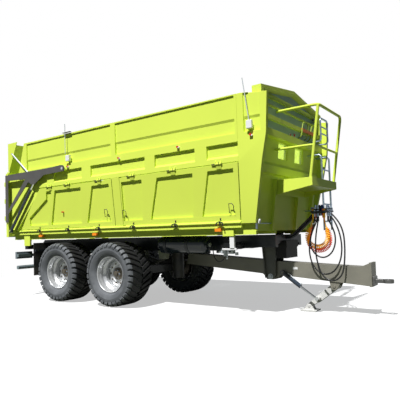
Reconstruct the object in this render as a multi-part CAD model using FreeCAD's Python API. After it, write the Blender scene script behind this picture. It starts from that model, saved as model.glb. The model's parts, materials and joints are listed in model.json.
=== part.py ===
import FreeCAD
import Part
import math
import os

from FreeCAD import Vector

# Farm trailer: a tandem-axle tipping trailer with a hydraulic tailgate.
# Millimetres. +X points to the towing eye, +Y to the trailer's left, +Z up.
# The origin is on the ground, under the middle of the whole length.

# ---------------------------------------------------------------- overall
gate_rear_x = -3505.0          # tailgate's rear face
eye_tip_x = 3505.0             # tip of the towing eye

# ---------------------------------------------------------------- wheels and axles
axle_mid_x = -1220.0           # midway between the two axles
axle_spacing = 1340.0
half_track = 1000.0            # from the middle plane to a wheel's middle plane
tyre_radius = 540.0
tyre_width = 550.0
rim_radius = 300.0             # over the rim's flanges
rim_half_width = 222.0
rim_wall = 10.0
rim_flange = 13.0              # width of the rim's outer flange
rim_well_depth = 45.0
rim_well_half = 60.0
rim_well_top_half = 90.0
bead_depth = 8.0               # the tyre's bead sits this far inside the flange's edge
bead_gap = 1.0
seat_clearance = 0.3
disc_thickness = 16.0
disc_half = 8.0
hub_radius = 105.0
hub_length = 150.0
hub_nose = 60.0                # the hub stands this far out of the disc
hub_bore_end = 42.0
drum_radius = 205.0
drum_width = 150.0
drum_wall = 25.0
drum_start = 30.0
axle_gap = 30.0                # between the drum and the end of the axle's square beam
spindle_radius = 45.0
spindle_reach = 30.0
spindle_clearance = 0.05       # radial, hub on spindle
axle_section = 130.0

# ---------------------------------------------------------------- chassis
beam_y = 450.0                 # middle of each main beam
beam_width = 90.0
beam_bottom_z = 905.0
beam_top_z = 1130.0
beam_rear_x = gate_rear_x + 250.0
beam_front_x = 2080.0
beam_chamfer = 60.0            # clears the bed as it tips
beam_taper_x = 1250.0          # the beams grow shallower ahead of here
nose_bottom_z = 955.0          # underside of the beams at the headstock
headstock_rear_x = 1700.0
cross_height = 150.0
cross_width = 90.0

# ---------------------------------------------------------------- load body
body_half = 1225.0             # outer face of the upper side wall
sill_half = 1140.0             # outer face of the side wall at its foot
wall = 65.0                    # thickness of the side walls
floor_z = 1304.0               # top of the floor plate
floor_thickness = 8.0
bed_bottom_z = 1150.0          # underside of the bed's frame
edge_beam_half = 1075.0        # outer face of the floor's edge beams
sill_z = 1340.0                # top of the sill
flap_bottom_z = 1352.0
flap_top_z = 2130.0
seam_z = 2138.0                # hinge line of the side flaps
belt_bottom_z = 2146.0
belt_top_z = 2411.0
board_top_z = 3080.0
flap_gap = 10.0                # gap round a flap, beside the posts
flap_rear_bottom_x = gate_rear_x + 352.0   # slanted rear edge of the rear flap
flap_rear_top_x = flap_rear_bottom_x + 771.0
post_rear_x = -460.0           # removable centre post
post_front_x = -290.0
flap_front_x = 1907.0
flap_front_slant = 35.0        # how much shorter the front flap is at its foot
pillar_front_bottom_x = 2093.0
pillar_front_knee_x = 2331.0
pillar_knee_z = 2467.0
pillar_front_top_x = 2363.0
pillar_top_z = 3013.0
top_kink_x = 1976.0
front_base_x = 2065.0          # front wall's outer face at front_base_z
front_base_z = 1200.0
front_lean = 0.092             # run per rise of the front wall
front_wall_thickness = 60.0
gable_bottom_z = 2490.0
gable_front_x = 2260.0
gable_corner_z = 3145.0
gable_peak_z = 3305.0

# ---------------------------------------------------------------- tailgate
gate_thickness = 80.0
gate_bottom_z = 1213.0
gate_top_z = 2537.0
gate_clearance = 6.0           # gate's front face to the body's rear end
arm_inner_y = body_half + 50.0
arm_thickness = 15.0
gate_pivot_x = gate_rear_x + 1859.0
gate_pivot_z = 2440.0

# ---------------------------------------------------------------- tipping
tip_axis_x = gate_rear_x + 305.0
tip_axis_z = 1100.0
tip_pin_radius = 25.0
pin_clearance = 0.05

os.makedirs("parts", exist_ok=True)


# ================================================================= helpers
def box(x0, x1, y0, y1, z0, z1):
    low = Vector(min(x0, x1), min(y0, y1), min(z0, z1))
    return Part.makeBox(abs(x1 - x0), abs(y1 - y0), abs(z1 - z0), low)


def prism(points, direction):
    wire = Part.makePolygon(points + [points[0]])
    return Part.Face(wire).extrude(direction)


def prism_y(points_xz, y0, y1):
    points = [Vector(x, y0, z) for x, z in points_xz]
    return prism(points, Vector(0, y1 - y0, 0))


def prism_x(points_yz, x0, x1):
    points = [Vector(x0, y, z) for y, z in points_yz]
    return prism(points, Vector(x1 - x0, 0, 0))


def prism_z(points_xy, z0, z1):
    points = [Vector(x, y, z0) for x, y in points_xy]
    return prism(points, Vector(0, 0, z1 - z0))


def rod(start, end, radius):
    start = Vector(*start)
    end = Vector(*end)
    return Part.makeCylinder(radius, (end - start).Length, start, end - start)


def fuse(shapes):
    if len(shapes) == 1:
        return shapes[0]
    return shapes[0].multiFuse(shapes[1:]).removeSplitter()


def mirrored(shape):
    return shape.mirror(Vector(0, 0, 0), Vector(0, 1, 0))


def both_sides(shape):
    return Part.makeCompound([shape, mirrored(shape)])


def rounded_path(points, bends):
    """Straight runs joined by tangent arcs, one bend radius for each inner point."""
    points = [Vector(*point) for point in points]
    edges = []
    start = points[0]
    for index in range(1, len(points) - 1):
        corner = points[index]
        back = (points[index - 1] - corner).normalize()
        ahead = (points[index + 1] - corner).normalize()
        turn = math.pi - back.getAngle(ahead)
        radius = bends[index - 1]
        reach = radius * math.tan(turn / 2)
        first = corner + back * reach
        last = corner + ahead * reach
        middle_way = (back + ahead).normalize()
        depth = radius / math.cos(turn / 2) - radius
        middle = corner + middle_way * depth
        if (first - start).Length > 1e-6:
            edges.append(Part.LineSegment(start, first).toShape())
        edges.append(Part.Arc(first, middle, last).toShape())
        start = last
    edges.append(Part.LineSegment(start, points[-1]).toShape())
    return Part.Wire(edges)


def swept_round(path, radius):
    first = path.Edges[0]
    start = first.valueAt(first.FirstParameter)
    ahead = first.tangentAt(first.FirstParameter)
    ring = Part.Wire([Part.makeCircle(radius, start, ahead)])
    return path.makePipeShell([ring], True, False)


def bent_rod(points, radius, bend):
    path = rounded_path(points, [bend] * (len(points) - 2))
    return swept_round(path, radius)


def save(name, shape):
    shape.exportStep("parts/" + name + ".step")
    solids = len(shape.Solids)
    size = shape.BoundBox
    print("%-20s %2d solid(s)  %7.1f litres  x %7.0f..%6.0f  z %5.0f..%5.0f" % (
        name, solids, shape.Volume / 1e6, size.XMin, size.XMax, size.ZMin, size.ZMax))


def side_y(z):
    """Outer face of the side wall at height z: it leans in below the hinge line."""
    if z >= seam_z:
        return body_half
    return body_half - (body_half - sill_half) * (seam_z - z) / (seam_z - flap_bottom_z)


def front_x(z):
    """Outer face of the front wall at height z."""
    return front_base_x + front_lean * (z - front_base_z)


# ================================================================= wheels
def turned(profile_ry, x, z, y):
    """Solid of revolution about a line along Y. The profile gives radius and offset."""
    points = [Vector(x + r, y + offset, z) for r, offset in profile_ry]
    wire = Part.makePolygon(points + [points[0]])
    return Part.Face(wire).revolve(Vector(x, y, z), Vector(0, 1, 0), 360)


def tyre(x, side):
    half = tyre_width / 2
    bead = rim_radius - bead_depth
    seat_half = rim_half_width - rim_flange - bead_gap
    bulge = 110.0      # height of the widest part of the sidewall above the rim
    shoulder = 28.0
    crown = 4.0
    profile = [
        (bead, seat_half), (rim_radius + 1, seat_half), (rim_radius + 40, half - 22),
        (rim_radius + bulge, half),
        (tyre_radius - 75, half - 4), (tyre_radius - shoulder, half - shoulder),
        (tyre_radius - crown, half - 70),
        (tyre_radius, 0),
    ]
    profile += [(radius, -offset) for radius, offset in reversed(profile[:-1])]
    return turned(profile, x, tyre_radius, side * half_track)


def rim(x, side):
    y = side * half_track
    out = side
    well = rim_radius - rim_well_depth
    inner = rim_radius - bead_depth
    seat = inner - seat_clearance
    half = rim_half_width
    ledge = half - rim_flange
    barrel = turned([
        (rim_radius, -half), (rim_radius, -ledge), (seat, -ledge), (seat, -rim_well_top_half),
        (well, -rim_well_half), (well, rim_well_half), (seat, rim_well_top_half), (seat, ledge),
        (rim_radius, ledge), (rim_radius, half), (inner - rim_wall, half),
        (well - rim_wall, rim_well_half + 6), (well - rim_wall, -rim_well_half - 6),
        (inner - rim_wall, -half),
    ], x, tyre_radius, y)
    bore = spindle_radius + spindle_clearance
    disc = turned([
        (bore, -out * disc_half), (well - rim_wall / 2, -out * disc_half),
        (well - rim_wall / 2, out * disc_thickness), (hub_radius + 60, out * disc_thickness),
        (hub_radius + 40, out * disc_half), (bore, out * disc_half),
    ], x, tyre_radius, y)
    hub = rod((x, y - out * (hub_length - hub_nose), tyre_radius), (x, y + out * hub_nose, tyre_radius),
              hub_radius)
    hub = hub.cut(rod((x, y - out * hub_length, tyre_radius), (x, y + out * hub_bore_end, tyre_radius),
                      bore))
    drum_end = drum_start + drum_width
    drum_root = hub_radius - 5
    drum = turned([
        (drum_root, -out * disc_half), (drum_radius, -out * drum_start), (drum_radius, -out * drum_end),
        (drum_radius - drum_wall, -out * drum_end), (drum_radius - drum_wall, -out * (drum_start + 20)),
        (drum_root, -out * (drum_start + 10)),
    ], x, tyre_radius, y)
    return fuse([barrel, disc, hub, drum])


def axle(x):
    beam_half = half_track - drum_start - drum_width - axle_gap
    shapes = [
        box(x - axle_section / 2, x + axle_section / 2, -beam_half, beam_half,
            tyre_radius - axle_section / 2, tyre_radius + axle_section / 2),
        rod((x, -half_track - spindle_reach, tyre_radius), (x, half_track + spindle_reach, tyre_radius),
            spindle_radius),
    ]
    return fuse(shapes)


wheel_places = {
    "front_right": (axle_mid_x + axle_spacing / 2, -1),
    "front_left": (axle_mid_x + axle_spacing / 2, 1),
    "rear_right": (axle_mid_x - axle_spacing / 2, -1),
    "rear_left": (axle_mid_x - axle_spacing / 2, 1),
}
for place, (wheel_x, wheel_side) in wheel_places.items():
    save("tyre_" + place, tyre(wheel_x, wheel_side))
    save("rim_" + place, rim(wheel_x, wheel_side))
save("axles", Part.makeCompound([axle(axle_mid_x + side * axle_spacing / 2) for side in (-1, 1)]))


# ================================================================= suspension
spring_y = beam_y
spring_width = 90.0
spring_leaf = 22.0
spring_leaves = 3
spring_reach = 560.0           # axle to the spring's outer eye
spring_camber = 90.0
seat_z = tyre_radius + axle_section / 2
seat_gap = 0.3                 # spring's end to its hanger


def leaf_pack(x):
    """A three-leaf spring that lies on its axle and rises to both ends."""
    shapes = []
    for layer in range(spring_leaves):
        reach = spring_reach * (1 - 0.28 * (spring_leaves - 1 - layer))
        rise = spring_camber * (reach / spring_reach) ** 2
        low = seat_z + layer * spring_leaf
        lower = Part.Arc(Vector(x - reach, spring_y - spring_width / 2, low + rise),
                         Vector(x, spring_y - spring_width / 2, low),
                         Vector(x + reach, spring_y - spring_width / 2, low + rise))
        upper = Part.Arc(Vector(x + reach, spring_y - spring_width / 2, low + rise + spring_leaf),
                         Vector(x, spring_y - spring_width / 2, low + spring_leaf),
                         Vector(x - reach, spring_y - spring_width / 2, low + rise + spring_leaf))
        ends = [
            Part.LineSegment(lower.EndPoint, upper.StartPoint),
            Part.LineSegment(upper.EndPoint, lower.StartPoint),
        ]
        edges = [lower.toShape(), ends[0].toShape(), upper.toShape(), ends[1].toShape()]
        shapes.append(Part.Face(Part.Wire(edges)).extrude(Vector(0, spring_width, 0)))
    clamp_top = seat_z + spring_leaves * spring_leaf + 14
    shapes.append(box(x - 75, x + 75, spring_y - spring_width / 2 - 22, spring_y + spring_width / 2 + 22,
                      clamp_top - 14, clamp_top + 16))
    return fuse(shapes)


def springs():
    shapes = []
    for x in (axle_mid_x - axle_spacing / 2, axle_mid_x + axle_spacing / 2):
        pack = leaf_pack(x)
        shapes += [pack, mirrored(pack)]
    return Part.makeCompound(shapes)


hanger_top_z = beam_bottom_z
spring_end_z = seat_z + (spring_leaves - 1) * spring_leaf + spring_camber + spring_leaf


def hangers():
    """Outer spring hangers and the middle balance rockers, below the main beams."""
    shapes = []
    outer_x = axle_spacing / 2 + spring_reach
    half = spring_width / 2 + 12
    for direction in (-1, 1):
        x = axle_mid_x + direction * outer_x
        shapes.append(prism_y([
            (x - 95, hanger_top_z), (x + 95, hanger_top_z), (x + 60, spring_end_z + seat_gap),
            (x - 60, spring_end_z + seat_gap)], spring_y - half, spring_y + half))
    rocker = prism_y([
        (axle_mid_x - 150, spring_end_z + seat_gap), (axle_mid_x + 150, spring_end_z + seat_gap),
        (axle_mid_x + 110, spring_end_z + 55), (axle_mid_x + 90, hanger_top_z),
        (axle_mid_x - 90, hanger_top_z), (axle_mid_x - 110, spring_end_z + 55)],
        spring_y - half, spring_y + half)
    shapes.append(rocker)
    return Part.makeCompound(shapes + [mirrored(shape) for shape in shapes])


save("leaf_springs", springs())
save("spring_hangers", hangers())


# ================================================================= chassis frame
cheek_near_y = 128.0           # inner faces of the drawbar's hinge cheeks
nose_box_half = 215.0
stop_box_depth = 149.0
stop_box_bottom_z = 780.0
drawbar_pin_x = 1826.0
drawbar_pin_z = 498.0
pivot_member_y = 955.0
pivot_member_z = 1040.0
front_rest_x = 1540.0
pivot_lug_y = 900.0
pivot_lug_width = 30.0
pivot_lug_radius = 36.0
trunnion_x = -20.0             # hinge of the tipping ram's barrel
trunnion_z = 960.0
trunnion_radius = 30.0
trunnion_bearing = 25.0


tank_rear_x = 180.0
tank_front_x = 1110.0
tank_y = -750.0
tank_z = 1015.0
tank_radius = 138.0
tank_strap_places = [tank_rear_x + 150, tank_front_x - 360]
mudflap_x = -2520.0
cross_member_places = [-1840.0, -1220.0, -600.0, 350.0, 1100.0]
cross_drop = 20.0              # tops of the cross members below the beams' tops
pivot_member_half = 50.0
pivot_member_height = 90.0
bearing_half = 55.0
flap_arm = 40.0
strap_width = 50.0
strap_wall = 8.0
nose_plate_x = beam_front_x - 110.0
nose_lip = 90.0
headstock_depth = 260.0
headstock_height = 120.0
cheek_wall = 24.0
cheek_flange = 62.0
flange_wall = 15.0
drawbar_pin_radius = 24.0
spine_half = 150.0
stop_lip = 12.0
mudflap_thickness = 12.0
mudflap_bottom_z = 460.0
mudflap_top_z = 1085.0
mudflap_outer_y = 1262.0
mudflap_inner_y = 735.0


def tank_core(margin):
    start = Vector(tank_rear_x, tank_y, tank_z)
    return Part.makeCylinder(tank_radius + margin, tank_front_x - tank_rear_x, start, Vector(1, 0, 0))


def chassis_frame():
    inner = beam_y - beam_width / 2
    outer = beam_y + beam_width / 2
    shapes = []
    for side in (-1, 1):
        shapes.append(prism_y([
            (beam_rear_x, beam_bottom_z), (beam_taper_x, beam_bottom_z), (headstock_rear_x, nose_bottom_z),
            (beam_front_x, nose_bottom_z), (beam_front_x, beam_top_z),
            (beam_rear_x + beam_chamfer, beam_top_z), (beam_rear_x, beam_top_z - beam_chamfer)],
            side * inner, side * outer))
    cross_top_z = beam_top_z - cross_drop
    for x in cross_member_places:
        shapes.append(box(x - cross_width / 2, x + cross_width / 2, -inner, inner,
                          cross_top_z - cross_height, cross_top_z))
    for x in (tip_axis_x, front_rest_x):
        shapes.append(box(x - pivot_member_half, x + pivot_member_half, -pivot_member_y, pivot_member_y,
                          pivot_member_z - pivot_member_height, pivot_member_z))
    nose_edge_z = nose_bottom_z + 40
    nose_plate_z = nose_bottom_z + nose_lip
    shapes.append(prism_x([
        (-inner, nose_edge_z), (-nose_box_half, nose_plate_z), (nose_box_half, nose_plate_z),
        (inner, nose_edge_z), (inner, beam_top_z), (-inner, beam_top_z)], nose_plate_x, beam_front_x))
    holes = []
    for side in (-1, 1):
        y0 = side * pivot_lug_y - pivot_lug_width / 2
        y1 = side * pivot_lug_y + pivot_lug_width / 2
        shapes.append(rod((tip_axis_x, y0, tip_axis_z), (tip_axis_x, y1, tip_axis_z), pivot_lug_radius))
        shapes.append(box(tip_axis_x - pivot_lug_radius, tip_axis_x + pivot_lug_radius, y0, y1,
                          pivot_member_z - 5, tip_axis_z))
        holes.append(rod((tip_axis_x, y0 - 5, tip_axis_z), (tip_axis_x, y1 + 5, tip_axis_z),
                         tip_pin_radius + pin_clearance))
        shapes.append(box(trunnion_x - bearing_half, trunnion_x + bearing_half,
                          side * (inner - trunnion_bearing),
                          side * inner, trunnion_z - bearing_half, trunnion_z + bearing_half))
        holes.append(rod((trunnion_x, side * (inner - trunnion_bearing - 5), trunnion_z),
                         (trunnion_x, side * (inner - 0.5), trunnion_z), trunnion_radius + pin_clearance))
        shapes.append(box(mudflap_x - flap_arm / 2, mudflap_x + flap_arm / 2, side * outer,
                          side * (mudflap_outer_y - mudflap_thickness), beam_bottom_z + 15,
                          beam_bottom_z + 15 + flap_arm))
    for x in tank_strap_places:
        ring = Part.makeCylinder(tank_radius + strap_wall, strap_width, Vector(x, tank_y, tank_z),
                                 Vector(1, 0, 0))
        shapes.append(ring.cut(tank_core(0)))
        arm = box(x, x + strap_width, tank_y + 90, -outer, tank_z - 60, tank_z + 60)
        shapes.append(arm.cut(tank_core(strap_wall / 2)))
    frame = fuse(shapes)
    for hole in holes:
        frame = frame.cut(hole)
    return frame


def headstock():
    """Cross box between the beams, the drawbar's hinge cheeks and the stop box ahead of them."""
    inner = beam_y - beam_width / 2
    nose_plate_z = nose_bottom_z + nose_lip
    shapes = [box(headstock_rear_x, headstock_rear_x + headstock_depth, -inner, inner, nose_bottom_z,
                  nose_bottom_z + headstock_height)]
    cheek_top_z = nose_bottom_z + 5
    cheek_rear_x = headstock_rear_x + 15
    cheek_foot_x = drawbar_pin_x - 76
    cheek_foot_z = drawbar_pin_z - 20
    for side in (-1, 1):
        shapes.append(prism_y([
            (cheek_rear_x, cheek_top_z), (drawbar_pin_x + 101, cheek_top_z),
            (drawbar_pin_x + 82, drawbar_pin_z + 22), (drawbar_pin_x + 55, drawbar_pin_z - 43),
            (drawbar_pin_x - 60, drawbar_pin_z - 43), (cheek_foot_x, cheek_foot_z)],
            side * cheek_near_y, side * (cheek_near_y + cheek_wall)))
        shapes.append(prism_y([
            (cheek_rear_x, cheek_top_z), (cheek_rear_x + flange_wall, cheek_top_z),
            (cheek_foot_x + flange_wall, cheek_foot_z), (cheek_foot_x, cheek_foot_z)],
            side * cheek_near_y, side * (cheek_near_y + cheek_flange)))
    pin_half = cheek_near_y + cheek_wall + 10
    shapes.append(rod((drawbar_pin_x, -pin_half, drawbar_pin_z), (drawbar_pin_x, pin_half, drawbar_pin_z),
                      drawbar_pin_radius))
    shapes.append(box(headstock_rear_x + headstock_depth - 5, nose_plate_x, -spine_half, spine_half,
                      nose_bottom_z + 20, nose_bottom_z + 110))
    lip_z = nose_bottom_z - 15
    rear = nose_plate_x - 10
    front = nose_plate_x + stop_box_depth
    shapes.append(box(rear, front, -nose_box_half, nose_box_half, stop_box_bottom_z, lip_z))
    shapes.append(box(rear - stop_lip, front + stop_lip, -nose_box_half - stop_lip, nose_box_half + stop_lip,
                      lip_z, nose_plate_z))
    return fuse(shapes).cut(chassis_frame())


save("chassis_frame", chassis_frame())


# ================================================================= drawbar, towing eye and its parking leg
drawbar_half = 110.0
drawbar_front_x = eye_tip_x - 275.0
drawbar_rear_x = 290.0
drawbar_rear_z = 845.0
drawbar_knee_x = 2100.0
drawbar_knee_z = 718.0
eye_z = 477.0
eye_outer = 68.0
eye_bore = 25.0
eye_thickness = 50.0


leg_pivot_x = 2753.0
leg_pivot_z = 385.0
leg_pin_z = 82.0
leg_angle = math.radians(38.0)
leg_length = (leg_pivot_z - leg_pin_z) / math.sin(leg_angle)
leg_half = 45.0
leg_eye_distance = 300.0
leg_barrel_x = leg_pivot_x - 733.0
leg_barrel_z = 560.0
leg_cylinder_y = -(drawbar_half + 35.0)
leg_barrel_length = 330.0
leg_stem_start = 215.0         # inner end of the rod, from the barrel's eye
leg_barrel_radius = 30.0
leg_cylinder_pin = 16.0
leg_knuckle_half = 22.0
leg_pin_radius = 20.0
leg_foot_pin_half = 60.0
leg_lug_near = 70.0
leg_lug_far = 95.0
leg_lug_radius = 50.0
foot_half = 120.0
foot_top_z = 24.0
buffer_length = 80.0
buffer_half = 70.0
front_plate = 30.0
front_plate_half = 125.0
front_plate_low_z = 402.0
front_plate_high_z = 728.0
eye_flange = 25.0
eye_flange_half = 85.0
eye_flange_rise = 62.0


def drawbar_beam():
    outline = [
        (drawbar_rear_x - 40, 660), (drawbar_pin_x - 150, 535), (drawbar_pin_x - 66, 465),
        (drawbar_pin_x + 60, 455), (drawbar_pin_x + 134, 520), (drawbar_pin_x + 254, 510),
        (drawbar_front_x, 410), (drawbar_front_x, 718), (drawbar_front_x - 115, 668),
        (drawbar_knee_x, drawbar_knee_z), (drawbar_rear_x, drawbar_rear_z),
    ]
    beam = prism_y(outline, -drawbar_half, drawbar_half)
    plate = box(drawbar_front_x, drawbar_front_x + front_plate, -front_plate_half, front_plate_half,
                front_plate_low_z, front_plate_high_z)
    shapes = [beam, plate]
    for side in (-1, 1):
        shapes.append(rod((leg_pivot_x, side * leg_lug_near, leg_pivot_z),
                          (leg_pivot_x, side * leg_lug_far, leg_pivot_z),
                          leg_lug_radius))
        shapes.append(prism_y([
            (leg_pivot_x - 70, 480), (leg_pivot_x + 90, 450), (leg_pivot_x + 45, leg_pivot_z - 25),
            (leg_pivot_x - 45, leg_pivot_z - 25)], side * leg_lug_near, side * leg_lug_far))
    pin_half = leg_lug_far + 10
    shapes.append(rod((leg_pivot_x, -pin_half, leg_pivot_z), (leg_pivot_x, pin_half, leg_pivot_z),
                      leg_pin_radius))
    bore = rod((drawbar_pin_x, -2 * drawbar_half, drawbar_pin_z),
               (drawbar_pin_x, 2 * drawbar_half, drawbar_pin_z),
               drawbar_pin_radius + pin_clearance)
    bored = fuse(shapes).cut(bore)
    stub = rod((leg_barrel_x, -drawbar_half - 60, leg_barrel_z), (leg_barrel_x, -drawbar_half, leg_barrel_z),
               leg_cylinder_pin)
    return fuse([bored, stub])


def drawbar_buffer():
    """Rubber block between the drawbar's rear end and the cross member above it."""
    slope = (drawbar_rear_z - drawbar_knee_z) / (drawbar_knee_x - drawbar_rear_x)
    middle = cross_member_places[3]
    x0 = middle - buffer_length / 2
    x1 = middle + buffer_length / 2
    low0 = drawbar_rear_z - slope * (x0 - drawbar_rear_x)
    low1 = drawbar_rear_z - slope * (x1 - drawbar_rear_x)
    top = beam_top_z - cross_drop - cross_height
    return prism_y([(x0, low0), (x1, low1), (x1, top), (x0, top)], -buffer_half, buffer_half)


def towing_eye():
    x = eye_tip_x - eye_outer
    low = eye_z - eye_thickness / 2
    root = drawbar_front_x + front_plate
    ring = Part.makeCylinder(eye_outer, eye_thickness, Vector(x, 0, low))
    shank = prism_z([(root, -58), (x - 30, -38), (x - 30, 38), (root, 58)], low, low + eye_thickness)
    flange = box(root, root + eye_flange, -eye_flange_half, eye_flange_half, eye_z - eye_flange_rise,
                 eye_z + eye_flange_rise)
    hole = Part.makeCylinder(eye_bore, 2 * eye_thickness, Vector(x, 0, low - eye_thickness / 2))
    return fuse([ring, shank, flange]).cut(hole)


def parking_leg():
    """Square leg that folds back under the drawbar, with its foot pinned on."""
    ahead = Vector(-math.cos(leg_angle), 0, -math.sin(leg_angle))
    outer = box(0, leg_length * 0.72, -leg_half, leg_half, -leg_half, leg_half)
    eye = rod((0, -leg_half, 0), (0, leg_half, 0), leg_half + 3)
    slim = leg_half - 12
    inner = box(leg_length * 0.7, leg_length, -slim, slim, -slim, slim)
    foot_pin = rod((leg_length, -leg_foot_pin_half, 0), (leg_length, leg_foot_pin_half, 0), 18)
    shape = fuse([outer, eye, inner, foot_pin])
    shape = shape.cut(rod((0, -leg_half - 5, 0), (0, leg_half + 5, 0), leg_pin_radius + pin_clearance))
    shape.rotate(Vector(0, 0, 0), Vector(0, 1, 0), 180 - math.degrees(leg_angle))
    shape.translate(Vector(leg_pivot_x, 0, leg_pivot_z))
    lug_x = leg_pivot_x + ahead.x * leg_eye_distance
    lug_z = leg_pivot_z + ahead.z * leg_eye_distance
    lug = rod((lug_x, leg_cylinder_y + leg_knuckle_half, lug_z), (lug_x, -leg_half, lug_z),
              leg_barrel_radius)
    foot_x = leg_pivot_x + ahead.x * leg_length
    sole = foot_half - 20
    plate = prism_y([
        (foot_x - foot_half, 14), (foot_x - sole, 0), (foot_x + sole, 0), (foot_x + foot_half, 14),
        (foot_x + foot_half, foot_top_z), (foot_x - foot_half, foot_top_z)], -sole, sole)
    cheeks = []
    for side in (-1, 1):
        cheeks.append(prism_y([
            (foot_x - 80, 20), (foot_x + 80, 20), (foot_x + 25, leg_pin_z + 24),
            (foot_x - 25, leg_pin_z + 24)], side * 36, side * 50))
    return fuse([shape, lug, plate] + cheeks)


def leg_cylinder():
    ahead = Vector(-math.cos(leg_angle), 0, -math.sin(leg_angle))
    eye = Vector(leg_pivot_x, 0, leg_pivot_z) + ahead * leg_eye_distance
    base = Vector(leg_barrel_x, 0, leg_barrel_z)
    way = (eye - base)
    reach = way.Length
    way.normalize()
    y = leg_cylinder_y
    shift = Vector(0, y, 0)
    fit = leg_cylinder_pin + pin_clearance
    barrel = Part.makeCylinder(leg_barrel_radius, leg_barrel_length, base + shift, way)
    ring = rod((base.x, y - leg_knuckle_half, base.z), (base.x, y + leg_knuckle_half, base.z),
               leg_barrel_radius + 4)
    bore = Part.makeCylinder(fit, leg_barrel_length + 70, base + shift + way * 60, way)
    eye_hole = rod((base.x, y - 40, base.z), (base.x, y + 40, base.z), fit)
    barrel = fuse([barrel, ring]).cut(bore).cut(eye_hole)
    stem = Part.makeCylinder(leg_cylinder_pin, reach - leg_stem_start,
                             base + shift + way * leg_stem_start, way)
    knuckle = rod((eye.x, y - 20, eye.z), (eye.x, y + leg_knuckle_half - 0.3, eye.z), 26)
    return barrel, fuse([stem, knuckle])


save("headstock", headstock())
save("drawbar", drawbar_beam())
save("drawbar_buffer", drawbar_buffer())
save("towing_eye", towing_eye())
save("parking_leg", parking_leg())
leg_barrel, leg_rod = leg_cylinder()
save("leg_barrel", leg_barrel)
save("leg_rod", leg_rod)


# ================================================================= bed frame and floor
bed_rail_width = 80.0
rail_inner_y = beam_y - bed_rail_width / 2
bed_frame_top_z = floor_z - floor_thickness
bed_bays = 9
bed_rear_x = gate_rear_x + gate_thickness + gate_clearance
bed_front_x = front_base_x


def bed_rails():
    """Two long rails over the main beams and the floor's edge beams."""
    shapes = []
    for side in (-1, 1):
        for near, far in ((rail_inner_y, rail_inner_y + bed_rail_width),
                          (edge_beam_half - 60, edge_beam_half)):
            shapes.append(box(bed_rear_x, bed_front_x, side * near, side * far, bed_bottom_z,
                              bed_frame_top_z))
    return shapes


def bed_crossmembers():
    """Cross pieces cut between the rails, and the block over the tipping ram."""
    shapes = []
    runs = [(-edge_beam_half + 60, -rail_inner_y - bed_rail_width), (-rail_inner_y, rail_inner_y),
            (rail_inner_y + bed_rail_width, edge_beam_half - 60)]
    for index in range(bed_bays + 1):
        x = bed_rear_x + 40 + (bed_front_x - bed_rear_x - 80) * index / bed_bays
        for y0, y1 in runs:
            shapes.append(box(x - 40, x + 40, y0, y1, bed_frame_top_z - 100, bed_frame_top_z))
    shapes.append(box(trunnion_x - 110, trunnion_x + 110, -rail_inner_y, rail_inner_y, bed_bottom_z,
                      bed_frame_top_z))
    return shapes


def tip_brackets():
    """Rear hinge cheeks with their pins, and the front rest blocks, under the bed frame."""
    shapes = []
    near = pivot_lug_y - pivot_lug_width / 2 - 2
    far = pivot_lug_y + pivot_lug_width / 2 + 2
    cheeks = []
    for y0, y1 in ((near - 24, near), (far, far + 24)):
        cheeks.append(rod((tip_axis_x, y0, tip_axis_z), (tip_axis_x, y1, tip_axis_z), pivot_lug_radius))
        cheeks.append(prism_y([
            (tip_axis_x - pivot_lug_radius, tip_axis_z), (tip_axis_x + pivot_lug_radius, tip_axis_z),
            (tip_axis_x + 70, bed_bottom_z + 40), (tip_axis_x - 70, bed_bottom_z + 40)], y0, y1))
    cheeks.append(rod((tip_axis_x, near - 24, tip_axis_z), (tip_axis_x, far + 24, tip_axis_z),
                      tip_pin_radius))
    cheeks.append(box(tip_axis_x - 80, tip_axis_x + 80, near - 40, edge_beam_half - 60, bed_bottom_z + 40,
                      floor_z - floor_thickness))
    shapes.append(fuse(cheeks).cut(bed_rails() + bed_crossmembers()))
    rest = prism_y([
        (front_rest_x - 40, pivot_member_z), (front_rest_x + 40, pivot_member_z),
        (front_rest_x + 70, bed_bottom_z + 60), (front_rest_x - 70, bed_bottom_z + 60)],
        pivot_lug_y - 45, pivot_lug_y + 45)
    plate = box(front_rest_x - 140, front_rest_x + 140, pivot_lug_y - 60, edge_beam_half - 60,
                bed_bottom_z + 60, floor_z - floor_thickness)
    shapes.append(fuse([rest, plate]).cut(bed_rails() + bed_crossmembers()))
    return Part.makeCompound(shapes + [mirrored(shape) for shape in shapes])


def bed_floor():
    return box(bed_rear_x, bed_front_x - 20, -edge_beam_half, edge_beam_half, bed_frame_top_z, floor_z)


save("bed_rails", Part.makeCompound(bed_rails()))
save("bed_crossmembers", Part.makeCompound(bed_crossmembers()))
save("bed_floor", bed_floor())
save("tip_brackets", tip_brackets())


# ================================================================= tipping ram
ram_bottom_z = 400.0
ram_radii = [105.0, 90.0, 76.0, 62.0, 48.0]   # barrel, then each stage
ram_step = 6.0                 # each stage stands this much proud of the one around it
ram_floor = 14.0
ram_head_radius = 40.0
ram_head_half = 55.0
ram_head_z = bed_bottom_z - 0.3 - ram_head_radius


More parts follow.
